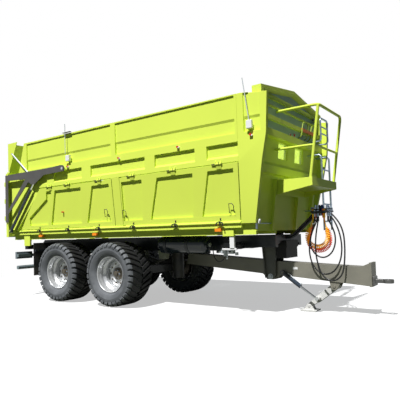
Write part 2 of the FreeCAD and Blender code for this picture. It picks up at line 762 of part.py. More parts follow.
def ram_piece(index):
    """Barrel (0) or one telescopic stage, nested in the one before it."""
    stages = len(ram_radii) - 1
    low = ram_bottom_z + index * ram_floor
    high = ram_head_z - (stages - index) * ram_step
    shape = rod((trunnion_x, 0, low), (trunnion_x, 0, high), ram_radii[index])
    if index < stages:
        bore = ram_radii[index + 1] + pin_clearance
        shape = shape.cut(rod((trunnion_x, 0, low + ram_floor), (trunnion_x, 0, high + 5), bore))
    else:
        head = rod((trunnion_x, -ram_head_half, ram_head_z), (trunnion_x, ram_head_half, ram_head_z),
                   ram_head_radius)
        upper = box(trunnion_x - 60, trunnion_x + 60, -60, 60, ram_head_z - ram_step / 2, bed_bottom_z)
        shape = fuse([shape, head.common(upper)])
    if index == 0:
        reach = beam_y - beam_width / 2 - 1
        core = rod((trunnion_x, 0, low), (trunnion_x, 0, high), ram_radii[0] - 1)
        band = rod((trunnion_x, 0, trunnion_z - 45), (trunnion_x, 0, trunnion_z + 45), ram_radii[0] + 22)
        shaft = rod((trunnion_x, -reach, trunnion_z), (trunnion_x, reach, trunnion_z), trunnion_radius)
        shape = fuse([shape, band.cut(core), shaft.cut(core)])
    return shape


save("ram_barrel", ram_piece(0))
for ram_index in range(1, len(ram_radii)):
    save("ram_stage_%d" % ram_index, ram_piece(ram_index))


# ================================================================= side walls
sill_bottom_z = 1250.0
sill_rail_radius = 20.0
belt_rear_x = flap_rear_top_x - flap_gap
pillar_rear_x = flap_front_x + flap_gap
board_rear_bottom_x = flap_rear_bottom_x + 73.0
board_rear_top_x = board_rear_bottom_x + 215.0
rear_pillar_outer = sill_half + 50.0


def sill():
    """Edge rail under the flaps, with its round locking bar."""
    rail = box(bed_rear_x, pillar_rear_x - flap_front_slant, edge_beam_half, sill_half - 5, sill_bottom_z,
               sill_z)
    bar = rod((flap_rear_bottom_x - 20, sill_half, sill_z - 20),
              (pillar_rear_x - flap_front_slant, sill_half, sill_z - 20),
              sill_rail_radius)
    return fuse([rail, bar])


def centre_post():
    low = sill_z
    high = belt_bottom_z
    return prism_x([
        (side_y(low), low), (body_half, high), (body_half - wall, high), (side_y(low) - wall, low)],
        post_rear_x, post_front_x)


def rear_pillar():
    gap = flap_gap
    return prism_y([
        (bed_rear_x, sill_z), (bed_rear_x, belt_top_z), (belt_rear_x, belt_top_z), (belt_rear_x, seam_z),
        (flap_rear_bottom_x - gap, flap_bottom_z), (flap_rear_bottom_x - gap, sill_z)],
        rear_pillar_outer - wall, rear_pillar_outer)


hinge_y = body_half + 12.0
hinge_pin_radius = 8.0
hinge_half = 40.0
rear_hinge_places = [flap_rear_top_x + 316.0, -1552.0, -751.0]
front_hinge_places = [2.0, 821.0, 1613.0]


def hinge_lug(x):
    """Two ears and the pin between them, on the belt above a flap."""
    shapes = []
    for x0 in (x - hinge_half - 12, x + hinge_half + 2):
        shapes.append(prism_x([
            (body_half - 2, seam_z + 10), (hinge_y + 10, seam_z - 8), (hinge_y + 12, seam_z + 4),
            (body_half + 8, seam_z + 50), (body_half - 2, seam_z + 60)], x0, x0 + 10))
    shapes.append(rod((x - hinge_half - 25, hinge_y, seam_z), (x + hinge_half + 12, hinge_y, seam_z),
                      hinge_pin_radius))
    return fuse(shapes)


def hinge_knuckle(x):
    """Tube on the pin and the strap that carries it on the flap's face."""
    tube = rod((x - hinge_half, hinge_y, seam_z), (x + hinge_half, hinge_y, seam_z), hinge_pin_radius + 6)
    strap = prism_x([
        (side_y(flap_top_z) - 2, flap_top_z - 2), (hinge_y + 8, seam_z - 4), (hinge_y + 2, seam_z - 14),
        (side_y(2070) + 8, 2070), (side_y(2070) - 2, 2070)], x - hinge_half, x + hinge_half)
    return tube, strap


def with_knuckles(shape, places):
    pieces = [shape]
    for x in places:
        pieces += list(hinge_knuckle(x))
    shape = fuse(pieces)
    for x in places:
        shape = shape.cut(rod((x - hinge_half - 1, hinge_y, seam_z), (x + hinge_half + 1, hinge_y, seam_z),
                              hinge_pin_radius + pin_clearance))
    return shape


belt_recess = 35.0
belt_rib_places = [
    (flap_rear_top_x + 232.0, flap_rear_top_x + 432.0), (-1180.0, -955.0), (277.0, 475.0), (1219.0, 1420.0)]


def side_belt():
    inner = body_half - wall
    recessed = body_half - belt_recess
    foot = belt_bottom_z + 69
    profile = [
        (inner, belt_bottom_z), (body_half, belt_bottom_z), (body_half, foot), (recessed, foot + 30),
        (recessed, belt_top_z), (inner, belt_top_z)]
    shapes = [prism_x(profile, belt_rear_x, pillar_rear_x)]
    for x0, x1 in belt_rib_places:
        shapes.append(box(x0, x1, recessed - 5, body_half, foot, belt_top_z))
    for x in rear_hinge_places + front_hinge_places:
        shapes.append(hinge_lug(x))
    return fuse(shapes)


board_bays = [(board_rear_top_x + 89.0, -460.0), (-354.0, 1880.0)]
board_step_low = 2700.0
board_step_high = 2735.0
board_panel_low = 2525.0
board_panel_high = 3050.0


def panel_pocket(x0, x1):
    """Recess of a pressed panel: deeper below its long crease than above it."""
    return prism_x([
        (body_half + 1, board_panel_low), (body_half - 35, board_panel_low),
        (body_half - 35, board_step_low),
        (body_half - 20, board_step_high), (body_half - 20, board_panel_high),
        (body_half + 1, board_panel_high)],
        x0, x1)


def side_board():
    inner = body_half - wall
    shape = prism_y([
        (board_rear_bottom_x, belt_top_z), (pillar_rear_x, belt_top_z), (pillar_rear_x, board_top_z - 14),
        (board_rear_top_x, board_top_z)], inner, body_half)
    for x0, x1 in board_bays:
        shape = shape.cut(panel_pocket(x0, x1))
    return shape


def front_pillar():
    low = floor_z
    outline = prism_y([
        (pillar_rear_x, belt_bottom_z), (pillar_rear_x - flap_front_slant, low),
        (pillar_front_bottom_x, low),
        (pillar_front_knee_x, pillar_knee_z),
        (pillar_front_top_x, pillar_top_z), (top_kink_x, board_top_z - 14),
        (pillar_rear_x, board_top_z - 14)],
        900, body_half + 50)
    section = prism_x([
        (side_y(low), low), (body_half, seam_z), (body_half, board_top_z), (body_half - wall, board_top_z),
        (body_half - wall, seam_z), (side_y(low) - wall, low)], pillar_rear_x - 50, pillar_front_top_x + 50)
    shape = outline.common(section)
    return shape.cut(panel_pocket(2015.0, 2255.0))


save("sills", both_sides(sill()))
save("centre_posts", both_sides(centre_post()))
save("side_belts", both_sides(side_belt()))
save("front_pillars", both_sides(front_pillar()))


# ================================================================= side flaps
flap_recess = 30.0
panel_top_z = 2060.0
panel_bottom_z = 1425.0


def flap_slab(x_top_rear, x_bottom_rear, x_top_front, x_bottom_front):
    low = flap_bottom_z
    high = flap_top_z
    outline = prism_y([(x_bottom_rear, low), (x_bottom_front, low), (x_top_front, high), (x_top_rear, high)],
                      900, body_half + 50)
    section = prism_x([
        (side_y(low), low), (side_y(high), high), (side_y(high) - wall + 5, high),
        (side_y(low) - wall + 5, low)], x_bottom_rear - 10, x_top_front + 10)
    return outline.common(section)


def flap_pocket(outline_xz):
    """Pressed panel: a recess that follows the flap's lean."""
    cutter = prism_y(outline_xz, 900, body_half + 50)
    low = panel_bottom_z - 100
    high = panel_top_z + 60
    xs = [point[0] for point in outline_xz]
    section = prism_x([
        (side_y(low) + 30, low), (side_y(high) + 30, high), (side_y(high) - flap_recess, high),
        (side_y(low) - flap_recess, low)], min(xs) - 10, max(xs) + 10)
    return cutter.common(section)


def pocket_between(rear_top, rear_bottom, front_top, front_bottom):
    return [(rear_bottom, panel_bottom_z), (front_bottom, panel_bottom_z), (front_top, panel_top_z),
            (rear_top, panel_top_z)]


def rear_flap():
    rear = flap_rear_bottom_x
    front = post_rear_x - flap_gap
    shape = flap_slab(flap_rear_top_x, rear, front, front)
    for outline in (
            [(rear + 359, panel_bottom_z), (rear + 913, panel_bottom_z), (rear + 1108, panel_top_z),
             (rear + 955, panel_top_z), (rear + 936, 1918), (rear + 359, 1581)],
            pocket_between(rear + 1207, rear + 1013, -1229, -1290),
            pocket_between(-947, -1143, -535, -545)):
        shape = shape.cut(flap_pocket(outline))
    return with_knuckles(shape, rear_hinge_places)


def front_flap():
    rear = post_front_x + flap_gap
    shape = flap_slab(rear, rear, flap_front_x, flap_front_x - flap_front_slant)
    for outline in (
            pocket_between(-252, -270, 194, 140),
            pocket_between(497, 308, 1164, 1110),
            pocket_between(1419, 1266, 1830, 1805)):
        shape = shape.cut(flap_pocket(outline))
    return with_knuckles(shape, front_hinge_places)


save("flap_rear_left", rear_flap())
save("flap_front_left", front_flap())
save("flap_rear_right", mirrored(rear_flap()))
save("flap_front_right", mirrored(front_flap()))


# ================================================================= front wall, gable and windows
window_y = 310.0
window_width = 340.0
window_bottom_z = 2235.0
window_top_z = 2465.0
front_rib_places = [-600.0, 250.0, 880.0]
front_rib_width = 62.0
front_rib_depth = 70.0         # at the platform, and half of it at the foot
apron = 12.0                   # plate over the front end of the bed frame


def front_slab(z0, z1, near, far):
    """Slice of the leaning front wall between two offsets from its outer face."""
    return [(front_x(z0) + near, z0), (front_x(z0) + far, z0), (front_x(z1) + far, z1),
            (front_x(z1) + near, z1)]


def front_wall():
    low = floor_z
    high = gable_bottom_z
    slab = prism_y(front_slab(low, high, -front_wall_thickness, 0), -body_half, body_half)
    half_low = side_y(low) - wall
    half_top = body_half - wall
    section = prism_x([
        (-half_low, low), (half_low, low), (half_top, seam_z), (half_top, high), (-half_top, high),
        (-half_top, seam_z)], bed_front_x - 200, gable_front_x + 100)
    shapes = [slab.common(section)]
    for y in front_rib_places:
        half = front_rib_width / 2
        rib_foot = front_rib_depth / 2
        shapes.append(prism_y([
            (front_x(low) - 5, low), (front_x(low), front_base_z),
            (front_x(front_base_z) + rib_foot, front_base_z),
            (front_x(1925) + front_rib_depth, 1925), (front_x(1925) - 5, 1925)], y - half, y + half))
    shapes.append(box(bed_front_x, bed_front_x + apron, -half_low, half_low, front_base_z, low + 6))
    band = [(front_x(1980) - 5, 1980), (front_x(1980) + 45, 1990), (front_x(2100) + 45, 2100),
            (front_x(2150), 2150), (front_x(2150) - 5, 2150)]
    shapes.append(prism_y(band, -1060, 1060))
    shape = fuse(shapes)
    for side in (-1, 1):
        y = side * window_y
        shape = shape.cut(box(1900, 2500, y - window_width / 2, y + window_width / 2, window_bottom_z,
                              window_top_z))
    return shape


gable_rear_x = front_x(gable_bottom_z) - front_wall_thickness
gable_band = 85.0
gable_pocket = 50.0


def gable():
    half = body_half - wall
    outline = [(-half, gable_bottom_z), (half, gable_bottom_z), (half, gable_corner_z), (0, gable_peak_z),
               (-half, gable_corner_z)]
    shape = prism_x(outline, gable_rear_x, gable_front_x)
    inner = half - gable_band
    rise = (gable_peak_z - gable_corner_z) / half
    pocket = [
        (-inner, gable_bottom_z + gable_band + 15), (inner, gable_bottom_z + gable_band + 15),
        (inner, gable_corner_z - gable_band + rise * gable_band), (0, gable_peak_z - gable_band),
        (-inner, gable_corner_z - gable_band + rise * gable_band)]
    shape = shape.cut(prism_x(pocket, gable_front_x - gable_pocket, gable_front_x + 10))
    beam = box(gable_front_x - gable_pocket - 5, gable_front_x - 8, -inner, inner, 2795, 2855)
    thin = box(gable_front_x - gable_pocket - 5, gable_front_x - 22, -inner, inner, 2918, 2942)
    strip = box(gable_front_x - gable_pocket - 5, gable_front_x - 15, -inner, inner, 3030, 3072)
    roof = prism_x(pocket, gable_front_x - gable_pocket - 10, gable_front_x)
    extras = [piece.common(roof) for piece in (beam, thin, strip)]
    return fuse([shape] + extras)


save("front_wall", front_wall())
save("gable", gable())


# ================================================================= platform, its rail and the ladders
platform_right_y = -610.0
platform_left_y = 430.0
platform_front_x = 2690.0
platform_z = 1795.0
platform_thickness = 25.0
platform_drop = 95.0           # gussets reach this far below the platform at the wall
toe_height = 112.0
platform_plate = 8.0
rail_radius = 20.0
rail_top_z = 2884.0
rail_mid_z = 2345.0
rail_toe_gap = 15.0            # clear of the toe board, which the rail leans towards
rail_foot_x = platform_front_x - platform_plate - rail_radius - rail_toe_gap
rail_top_x = 2803.0


def platform():
    low = platform_z - platform_drop
    toe_top = platform_z + toe_height
    slab_top = platform_z + platform_thickness
    wall_x = front_x(toe_top) + front_rib_depth
    shapes = [box(wall_x - 40, platform_front_x, platform_right_y, platform_left_y, platform_z, slab_top)]
    shapes.append(box(platform_front_x - platform_plate, platform_front_x, platform_right_y, platform_left_y,
                      platform_z, toe_top))
    for y in (platform_right_y, platform_left_y - platform_plate):
        shapes.append(prism_y([
            (wall_x - 40, low), (platform_front_x, platform_z), (platform_front_x, toe_top),
            (wall_x - 40, toe_top)], y, y + platform_plate))
    shapes.append(prism_y(front_slab(low, toe_top, front_rib_depth, front_rib_depth + 10),
                          platform_right_y, platform_left_y))
    wall_side = prism_y(front_slab(low - 100, toe_top + 100, -200, front_rib_depth), -body_half, body_half)
    return fuse(shapes).cut(wall_side)


def rail_x(z):
    foot = platform_z + platform_thickness
    return rail_foot_x + (rail_top_x - rail_foot_x) * (z - foot) / (rail_top_z - foot)


def platform_rail():
    right = platform_right_y + 30
    left = platform_left_y - 30
    foot = platform_z + platform_thickness
    wall_top_x = gable_front_x
    wall_mid_x = front_x(rail_mid_z)
    top = bent_rod([
        (wall_top_x - gable_pocket, right, rail_top_z), (rail_top_x, right, rail_top_z),
        (rail_top_x, left, rail_top_z),
        (rail_x(foot - 10), left, foot - 10)], rail_radius, 70)
    post = rod((rail_x(foot - 10), right, foot - 10), (rail_x(rail_top_z - 15), right, rail_top_z - 15),
               rail_radius)
    mid_x = rail_x(rail_mid_z)
    middle = bent_rod([
        (wall_mid_x - 2, right, rail_mid_z), (mid_x, right, rail_mid_z), (mid_x, left, rail_mid_z)],
        rail_radius - 3, 60)
    wall_cut = prism_y(front_slab(1300, gable_bottom_z, -200, 0), -1300, 1300)
    floor_cut = box(rail_foot_x - 100, rail_foot_x + 100, platform_right_y, platform_left_y, platform_z,
                    foot)
    return fuse([top, post, middle]).cut(wall_cut).cut(floor_cut)


ladder_y = body_half - 360.0
ladder_half = 185.0
ladder_x = 2400.0
ladder_bottom_z = 1180.0
ladder_top_z = 2400.0
ladder_pitch = 280.0
ladder_first_rung_z = 1320.0
ladder_rungs = 4
rung_radius = 12.0
ladder_tube = 15.0
ladder_stay_z = 1500.0
ladder_bend = 60.0
upper_ladder_low_z = 2620.0
upper_ladder_high_z = 3000.0


def ladder_lower():
    shapes = []
    for side in (-1, 1):
        y = ladder_y + side * ladder_half
        shapes.append(bent_rod([
            (front_x(ladder_top_z) - 20, y, ladder_top_z), (ladder_x, y, ladder_top_z),
            (ladder_x, y, ladder_bottom_z)], ladder_tube, ladder_bend))
    for index in range(ladder_rungs):
        z = ladder_first_rung_z + index * ladder_pitch
        shapes.append(rod((ladder_x, ladder_y - ladder_half, z), (ladder_x, ladder_y + ladder_half, z),
                          rung_radius))
    for side in (-1, 1):
        y = ladder_y + side * ladder_half
        shapes.append(rod((front_x(ladder_stay_z) - 30, y, ladder_stay_z), (ladder_x, y, ladder_stay_z), 10))
    wall_cut = prism_y(front_slab(1300, 2900, -300, 0), -1300, 1300)
    return fuse(shapes).cut(wall_cut)


def ladder_upper():
    low = upper_ladder_low_z
    high = upper_ladder_high_z
    foot_x = gable_front_x - gable_pocket
    right = ladder_y - ladder_half + 20
    left = ladder_y + ladder_half - 20
    shapes = [bent_rod([
        (foot_x, right, low), (ladder_x, right, low), (ladder_x, right, high), (ladder_x, left, high),
        (ladder_x, left, low), (foot_x, left, low)], ladder_tube, 50)]
    for z in (low + 130, high - 140):
        shapes.append(rod((ladder_x, right, z), (ladder_x, left, z), rung_radius))
    return fuse(shapes)


save("platform", platform())
save("platform_rail", platform_rail())
save("ladders", Part.makeCompound([ladder_lower(), ladder_upper()]))


# ================================================================= tailgate
gate_half = body_half
gate_frame = 95.0              # width of the tailgate's outer frame
gate_post_half = 50.0
gate_mid_half = 30.0
gate_pocket = 25.0
gate_board_front_x = gate_rear_x + 155.0
gate_board_thickness = 40.0
gate_board_top_z = 3140.0
gate_wing_front_x = gate_rear_x + 430.0


def gate_panel():
    front = gate_rear_x + gate_thickness
    panel = box(gate_rear_x, front, -gate_half, gate_half, gate_bottom_z, gate_top_z)
    outer = gate_half - gate_frame
    post = (outer + gate_post_half - gate_mid_half) / 2
    columns = ((-outer, -post - gate_post_half), (-post + gate_post_half, -gate_mid_half),
               (gate_mid_half, post - gate_post_half), (post + gate_post_half, outer))
    for y0, y1 in columns:
        panel = panel.cut(box(gate_rear_x - 1, gate_rear_x + gate_pocket, y0, y1, gate_bottom_z + 90,
                              gate_top_z - 90))
    shapes = [panel]
    for side in (-1, 1):
        for z in (1600, 1950, 2300):
            shapes.append(box(gate_rear_x + 20, front - 10, side * (gate_half - 5), side * arm_inner_y,
                              z - 45, z + 45))
    return fuse(shapes)


def gate_board():
    rear = gate_board_front_x - gate_board_thickness
    front = gate_board_front_x
    shapes = [box(rear, front, -gate_half + 20, gate_half - 20, gate_top_z, gate_board_top_z)]
    shapes.append(box(gate_rear_x + 20, rear + 1, -gate_half + 20, gate_half - 20, gate_top_z,
                      gate_top_z + 30))
    for side in (-1, 1):
        shapes.append(prism_y([
            (front - 1, gate_top_z + 30), (front - 1, gate_board_top_z),
            (gate_wing_front_x, gate_board_top_z)],
            side * (gate_half + 8), side * (gate_half + 16)))
        shapes.append(box(rear, front, side * (gate_half - 25), side * (gate_half + 16), gate_top_z + 30,
                          gate_board_top_z))
    return fuse(shapes)


arm_apex_x = gate_rear_x + 1005.0
arm_apex_z = 2270.0


def gate_arm():
    rear = gate_rear_x + 20
    plate = prism_y([
        (gate_pivot_x + 50, gate_pivot_z - 55), (gate_pivot_x + 60, gate_pivot_z + 30),
        (gate_pivot_x - 20, gate_pivot_z + 62), (gate_pivot_x - 260, gate_pivot_z + 50),
        (rear, gate_pivot_z + 40), (rear, gate_bottom_z + 300), (rear + 95, gate_bottom_z + 300),
        (rear + 95, gate_pivot_z - 75), (arm_apex_x - 250, gate_pivot_z - 95),
        (arm_apex_x - 60, arm_apex_z - 45), (arm_apex_x + 40, arm_apex_z - 50),
        (arm_apex_x + 330, gate_pivot_z - 70)], arm_inner_y, arm_inner_y + arm_thickness)
    brace = prism_y([
        (rear + 60, 1730), (rear + 60, 1650), (arm_apex_x - 150, 2280), (arm_apex_x - 190, 2350),
        (arm_apex_x - 240, 2350)], arm_inner_y, arm_inner_y + arm_thickness)
    arm_outer_y = arm_inner_y + arm_thickness
    collar = rod((gate_pivot_x, arm_inner_y, gate_pivot_z), (gate_pivot_x, arm_outer_y, gate_pivot_z), 58)
    shape = fuse([plate, brace, collar])
    hole = rod((gate_pivot_x, arm_inner_y - 5, gate_pivot_z),
               (gate_pivot_x, arm_inner_y + arm_thickness + 5, gate_pivot_z),
               gate_pin_radius + pin_clearance)
    return shape.cut(hole)


gate_pin_radius = 25.0
gate_cylinder_y = body_half + 25.0
gate_base_x = gate_rear_x + 200.0
gate_base_z = 1337.0
gate_barrel_radius = 30.0
gate_rod_radius = 18.0


def gate_pivot_pin():
    """Pin and its seat plate on the side board, one each side."""
    seat = box(gate_pivot_x - 90, gate_pivot_x + 90, body_half, body_half + 12, gate_pivot_z + 5 - 30,
               gate_pivot_z + 80)
    boss = rod((gate_pivot_x, body_half, gate_pivot_z), (gate_pivot_x, arm_inner_y - 2, gate_pivot_z), 45)
    pin = rod((gate_pivot_x, body_half, gate_pivot_z),
              (gate_pivot_x, arm_inner_y + arm_thickness, gate_pivot_z),
              gate_pin_radius)
    return fuse([seat, boss, pin])


def gate_cylinder():
    base = Vector(gate_base_x, gate_cylinder_y, gate_base_z)
    eye = Vector(arm_apex_x, gate_cylinder_y, arm_apex_z)
    way = eye - base
    reach = way.Length
    way.normalize()
    barrel_length = reach - 190
    barrel = Part.makeCylinder(gate_barrel_radius, barrel_length, base, way)
    ring_half = gate_barrel_radius - 0.3
    ring = rod((base.x, gate_cylinder_y - ring_half, base.z),
               (base.x, gate_cylinder_y + ring_half, base.z), 34)
    barrel = fuse([barrel, ring])
    barrel = barrel.cut(Part.makeCylinder(gate_rod_radius + pin_clearance, barrel_length, base + way * 60,
                                          way))
    barrel = barrel.cut(rod((base.x, gate_cylinder_y - 60, base.z), (base.x, gate_cylinder_y + 60, base.z),
                            15 + pin_clearance))
    stem = Part.makeCylinder(gate_rod_radius, reach - 90, base + way * 90, way)
    knuckle = rod((eye.x, gate_cylinder_y - 18, eye.z), (eye.x, arm_inner_y - 0.3, eye.z), 28)
    return barrel, fuse([stem, knuckle])


def gate_base_pin():
    """Lower pin of the gate's cylinder, standing out of the rear pillar."""
    near = gate_cylinder_y - gate_barrel_radius - 1
    far = gate_cylinder_y + gate_barrel_radius + 4
    boss = rod((gate_base_x, sill_half, gate_base_z), (gate_base_x, near, gate_base_z), 34)
    pin = rod((gate_base_x, rear_pillar_outer, gate_base_z), (gate_base_x, far, gate_base_z), 15)
    return fuse([boss, pin])


def gate_strut():
    """Brace from the tailgate's wing down to its arm."""
    top = (gate_rear_x + 282, gate_board_top_z - 230)
    foot = (arm_apex_x - 155, gate_pivot_z - 3)
    y = arm_inner_y - 17
    bar = rod((top[0], y, top[1]), (foot[0], y, foot[1]), 12)
    upper = rod((top[0], gate_half + 16, top[1]), (top[0], y + 8, top[1]), 18)
    lower = rod((foot[0], y - 8, foot[1]), (foot[0], arm_inner_y, foot[1]), 18)
    return fuse([bar, upper, lower])


save("gate_panel", gate_panel())
save("gate_board", gate_board())
save("gate_arms", both_sides(fuse([gate_arm(), gate_strut()])))
gate_barrel, gate_rod = gate_cylinder()
save("gate_barrels", both_sides(gate_barrel))
save("gate_rods", both_sides(gate_rod))
save("rear_pillars", both_sides(fuse([rear_pillar(), gate_base_pin()])))
save("side_boards", both_sides(fuse([side_board(), gate_pivot_pin()])))


# ================================================================= air tank, rear bar, mudflaps, lamps, hose arm
def air_tank():
    dome = 60
    profile = [
        (tank_rear_x, 0), (tank_rear_x, 70), (tank_rear_x + 22, 112), (tank_rear_x + dome, tank_radius),
        (tank_front_x - dome, tank_radius), (tank_front_x - 22, 112), (tank_front_x, 70), (tank_front_x, 0)]
    points = [Vector(x, tank_y, tank_z + r) for x, r in profile]
    face = Part.Face(Part.makePolygon(points + [points[0]]))
    return face.revolve(Vector(0, tank_y, tank_z), Vector(1, 0, 0), 360)


rear_bar_front_x = gate_rear_x + 330.0
rear_bar_rear_x = rear_bar_front_x - 60.0
lamp_bar_z = 830.0
lower_bar_z = 590.0
rear_bar_half = 1170.0


def rear_bar():
    """Lamp bar and lower guard bar, hung on two uprights from the main beams."""
    shapes = [box(rear_bar_rear_x, rear_bar_front_x, -rear_bar_half, rear_bar_half, lamp_bar_z - 30,
                  lamp_bar_z + 30)]
    middle = (rear_bar_rear_x + rear_bar_front_x) / 2
    shapes.append(rod((middle, -rear_bar_half, lower_bar_z), (middle, rear_bar_half, lower_bar_z), 38))
    for side in (-1, 1):
        shapes.append(box(rear_bar_rear_x + 5, rear_bar_front_x - 5, side * (beam_y - 35),
                          side * (beam_y + 35),
                          lower_bar_z, beam_bottom_z))
    return fuse(shapes)


def rear_lamp():
    return box(rear_bar_rear_x - 55, rear_bar_rear_x, 790, rear_bar_half - 5, lamp_bar_z - 65,
               lamp_bar_z + 75)


def mudflap():
    rear = mudflap_x - flap_arm / 2
    return box(rear - mudflap_thickness, rear, mudflap_inner_y, mudflap_outer_y, mudflap_bottom_z,
               mudflap_top_z)


marker_places = [-2498.0, -997.0, 1505.0]


def side_marker(x):
    return box(x - 55, x + 55, edge_beam_half, edge_beam_half + 22, 1200, 1240)


hose_plate_z = 1440.0
hose_radius = 11.0
hose_plate = (2465.0, 2730.0, -108.0, 100.0)
hose_arm_radius = 18.0
hose_arm_bend = 150.0
bundle_rise = hose_arm_radius + hose_radius + 1.0   # middle of the tied hoses over the middle of the arm
bundle_pitch = 24.0
curl_radius = 22.0
socket_z = hose_plate_z - 15
cord_gap = 0.3
cord_top_z = socket_z - cord_gap
socket_length = 42.0
arm_route = [(beam_front_x, -70, 1085), (2180, -70, 1085), (2470, 62, 1400), (2560, 62, 1451)]
hose_routes = {
    "cord_hose_short": [
        (2545, -62, cord_top_z), (2545, -62, 1330), (2480, -66, 1200), (2430, -70, 1060), (2440, -70, 920),
        (2510, -70, 815), (2620, -70, 780), (2725, -70, 840), (2785, -70, 960), (2795, -70, 1100),
        (2755, -66, 1230), (2700, -62, 1330), (2700, -62, cord_top_z)],
    "cord_hose_middle": [
        (2520, -92, cord_top_z), (2520, -92, 1330), (2480, -105, 1180), (2445, -135, 1020),
        (2440, -155, 870),
        (2475, -168, 710), (2560, -172, 590), (2680, -172, 550), (2795, -172, 605), (2875, -166, 740),
        (2900, -150, 900), (2885, -125, 1060), (2840, -105, 1220), (2775, -94, 1350), (2712, -88, 1425)],
    "cord_hose_long": [
        (2570, -92, cord_top_z), (2570, -92, 1330), (2545, -130, 1160), (2540, -175, 980), (2555, -205, 800),
        (2600, -214, 620), (2650, -216, 530), (2730, -216, 478), (2820, -216, 482), (2893, -214, 545),
        (2930, -211, 640), (2945, -190, 810), (2942, -160, 1000), (2920, -130, 1160), (2850, -104, 1320),
        (2745, -92, 1430)],
    "cord_red": [
        (2500, 15, cord_top_z), (2500, 15, 1335), (2370, 18, 1110), (2370, 20, 1002), (2413, 20, 929),
        (2486, 20, 886), (2572, 20, 886), (2645, 20, 929), (2688, 20, 1002), (2688, 18, 1110),
        (2610, 15, 1324), (2610, 15, cord_top_z)],
    "cord_yellow": [
        (2482, -38, cord_top_z), (2482, -38, 1332), (2379, -34, 1140), (2379, -32, 1055), (2419, -32, 985),
        (2489, -32, 945), (2569, -32, 945), (2639, -32, 985), (2679, -32, 1055), (2679, -34, 1150),
        (2640, -38, 1298), (2640, -38, cord_top_z)],
}


def cord_radius(name):
    return hose_radius if "hose" in name else curl_radius


def hose_arm():
    """Bent bar on the frame's nose, with the plate that holds the parked hose ends."""
    bar = bent_rod(arm_route, hose_arm_radius, hose_arm_bend)
    x0, x1, y0, y1 = hose_plate
    sockets = []
    for name, points in hose_routes.items():
        for end, inner in ((points[0], points[1]), (points[-1], points[-2])):
            way = (Vector(*end) - Vector(*inner)).normalize()
            start = Vector(*end) + way * cord_gap
            sockets.append(Part.makeCylinder(cord_radius(name) + 4, socket_length, start, way))
    upright = box(x0, x0 + 12, y1 - 76, y1, hose_plate_z - 35, hose_plate_z + 22)
    return fuse([bar, box(x0, x1, y0, y1, hose_plate_z, hose_plate_z + 22), upright] + sockets)


def hose_bundle():
    """Three hoses tied along the top of the arm, from the frame's nose to the plate's upright."""
    shapes = []
    start, knee, head, tip = [Vector(*point) for point in arm_route]
    climb = math.atan2(head.z - knee.z, head.x - knee.x)
    ease = math.atan2(tip.z - head.z, tip.x - head.x)
    knee_shift = Vector(-bundle_rise * math.tan(climb / 2), 0, bundle_rise)
    tilt = (climb + ease) / 2
    head_shift = Vector(-math.sin(tilt), 0, math.cos(tilt)) * (bundle_rise / math.cos((climb - ease) / 2))
    tip_shift = Vector(-math.sin(ease), 0, math.cos(ease)) * bundle_rise
    beyond = box(hose_plate[0], hose_plate[0] + 300, hose_plate[2], hose_plate[3] + 50, hose_plate_z - 100,
                 hose_plate_z + 200)
    for place in (-1, 0, 1):
        side = Vector(0, place * bundle_pitch, 0)
        route = [start + Vector(0, 0, bundle_rise), knee + knee_shift, head + head_shift, tip + tip_shift]
        route = [point + side for point in route]
        shapes.append(bent_rod(route, hose_radius, hose_arm_bend - bundle_rise).cut(beyond))
    return Part.makeCompound(shapes)


def free_cord(name, points, radius):
    """A hanging hose on its route, with the widest arcs that its runs allow."""
    way = [Vector(*point) for point in points]
    bends = []
    for index in range(1, len(way) - 1):
        back = way[index - 1] - way[index]
        ahead = way[index + 1] - way[index]
        turn = math.pi - back.getAngle(ahead)
        bends.append(0.45 * min(back.Length, ahead.Length) / math.tan(turn / 2))
    path = rounded_path(points, bends)
    shape = swept_round(path, radius)
    expected = math.pi * radius ** 2 * path.Length
    print("%s: tightest arc %.0f mm, length %.0f mm, volume %.3f of its section's" % (
        name, min(bends), path.Length, shape.Volume / expected))
    return shape


save("hose_arm", hose_arm())
save("hose_bundle", hose_bundle())
for cord_name, route in hose_routes.items():
    save(cord_name, free_cord(cord_name, route, cord_radius(cord_name)))


save("air_tank", air_tank())
save("rear_bar", rear_bar())
save("rear_lamps", both_sides(rear_lamp()))
save("mudflaps", both_sides(mudflap()))
save("side_markers", Part.makeCompound(
    [side_marker(x) for x in marker_places] + [mirrored(side_marker(x)) for x in marker_places]))
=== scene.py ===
import json
import math

import bmesh
import bpy
from mathutils import Matrix, Vector


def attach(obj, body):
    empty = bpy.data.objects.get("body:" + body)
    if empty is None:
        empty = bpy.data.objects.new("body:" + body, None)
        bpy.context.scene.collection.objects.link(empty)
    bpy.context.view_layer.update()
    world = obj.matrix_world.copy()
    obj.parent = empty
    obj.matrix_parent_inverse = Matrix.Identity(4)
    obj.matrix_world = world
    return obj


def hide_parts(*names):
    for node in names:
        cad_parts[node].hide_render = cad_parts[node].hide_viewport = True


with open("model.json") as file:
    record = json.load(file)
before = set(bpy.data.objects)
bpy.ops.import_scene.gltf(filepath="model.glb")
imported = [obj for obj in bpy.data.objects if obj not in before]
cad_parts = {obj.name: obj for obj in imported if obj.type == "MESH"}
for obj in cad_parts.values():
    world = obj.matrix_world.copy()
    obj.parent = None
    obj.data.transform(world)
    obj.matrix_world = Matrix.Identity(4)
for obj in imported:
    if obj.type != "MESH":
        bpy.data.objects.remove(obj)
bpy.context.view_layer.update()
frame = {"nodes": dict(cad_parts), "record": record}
nodes = frame["nodes"]
print("frame loaded:", len(nodes), "nodes")


# camera: stands at the right front, a little over a metre above the ground

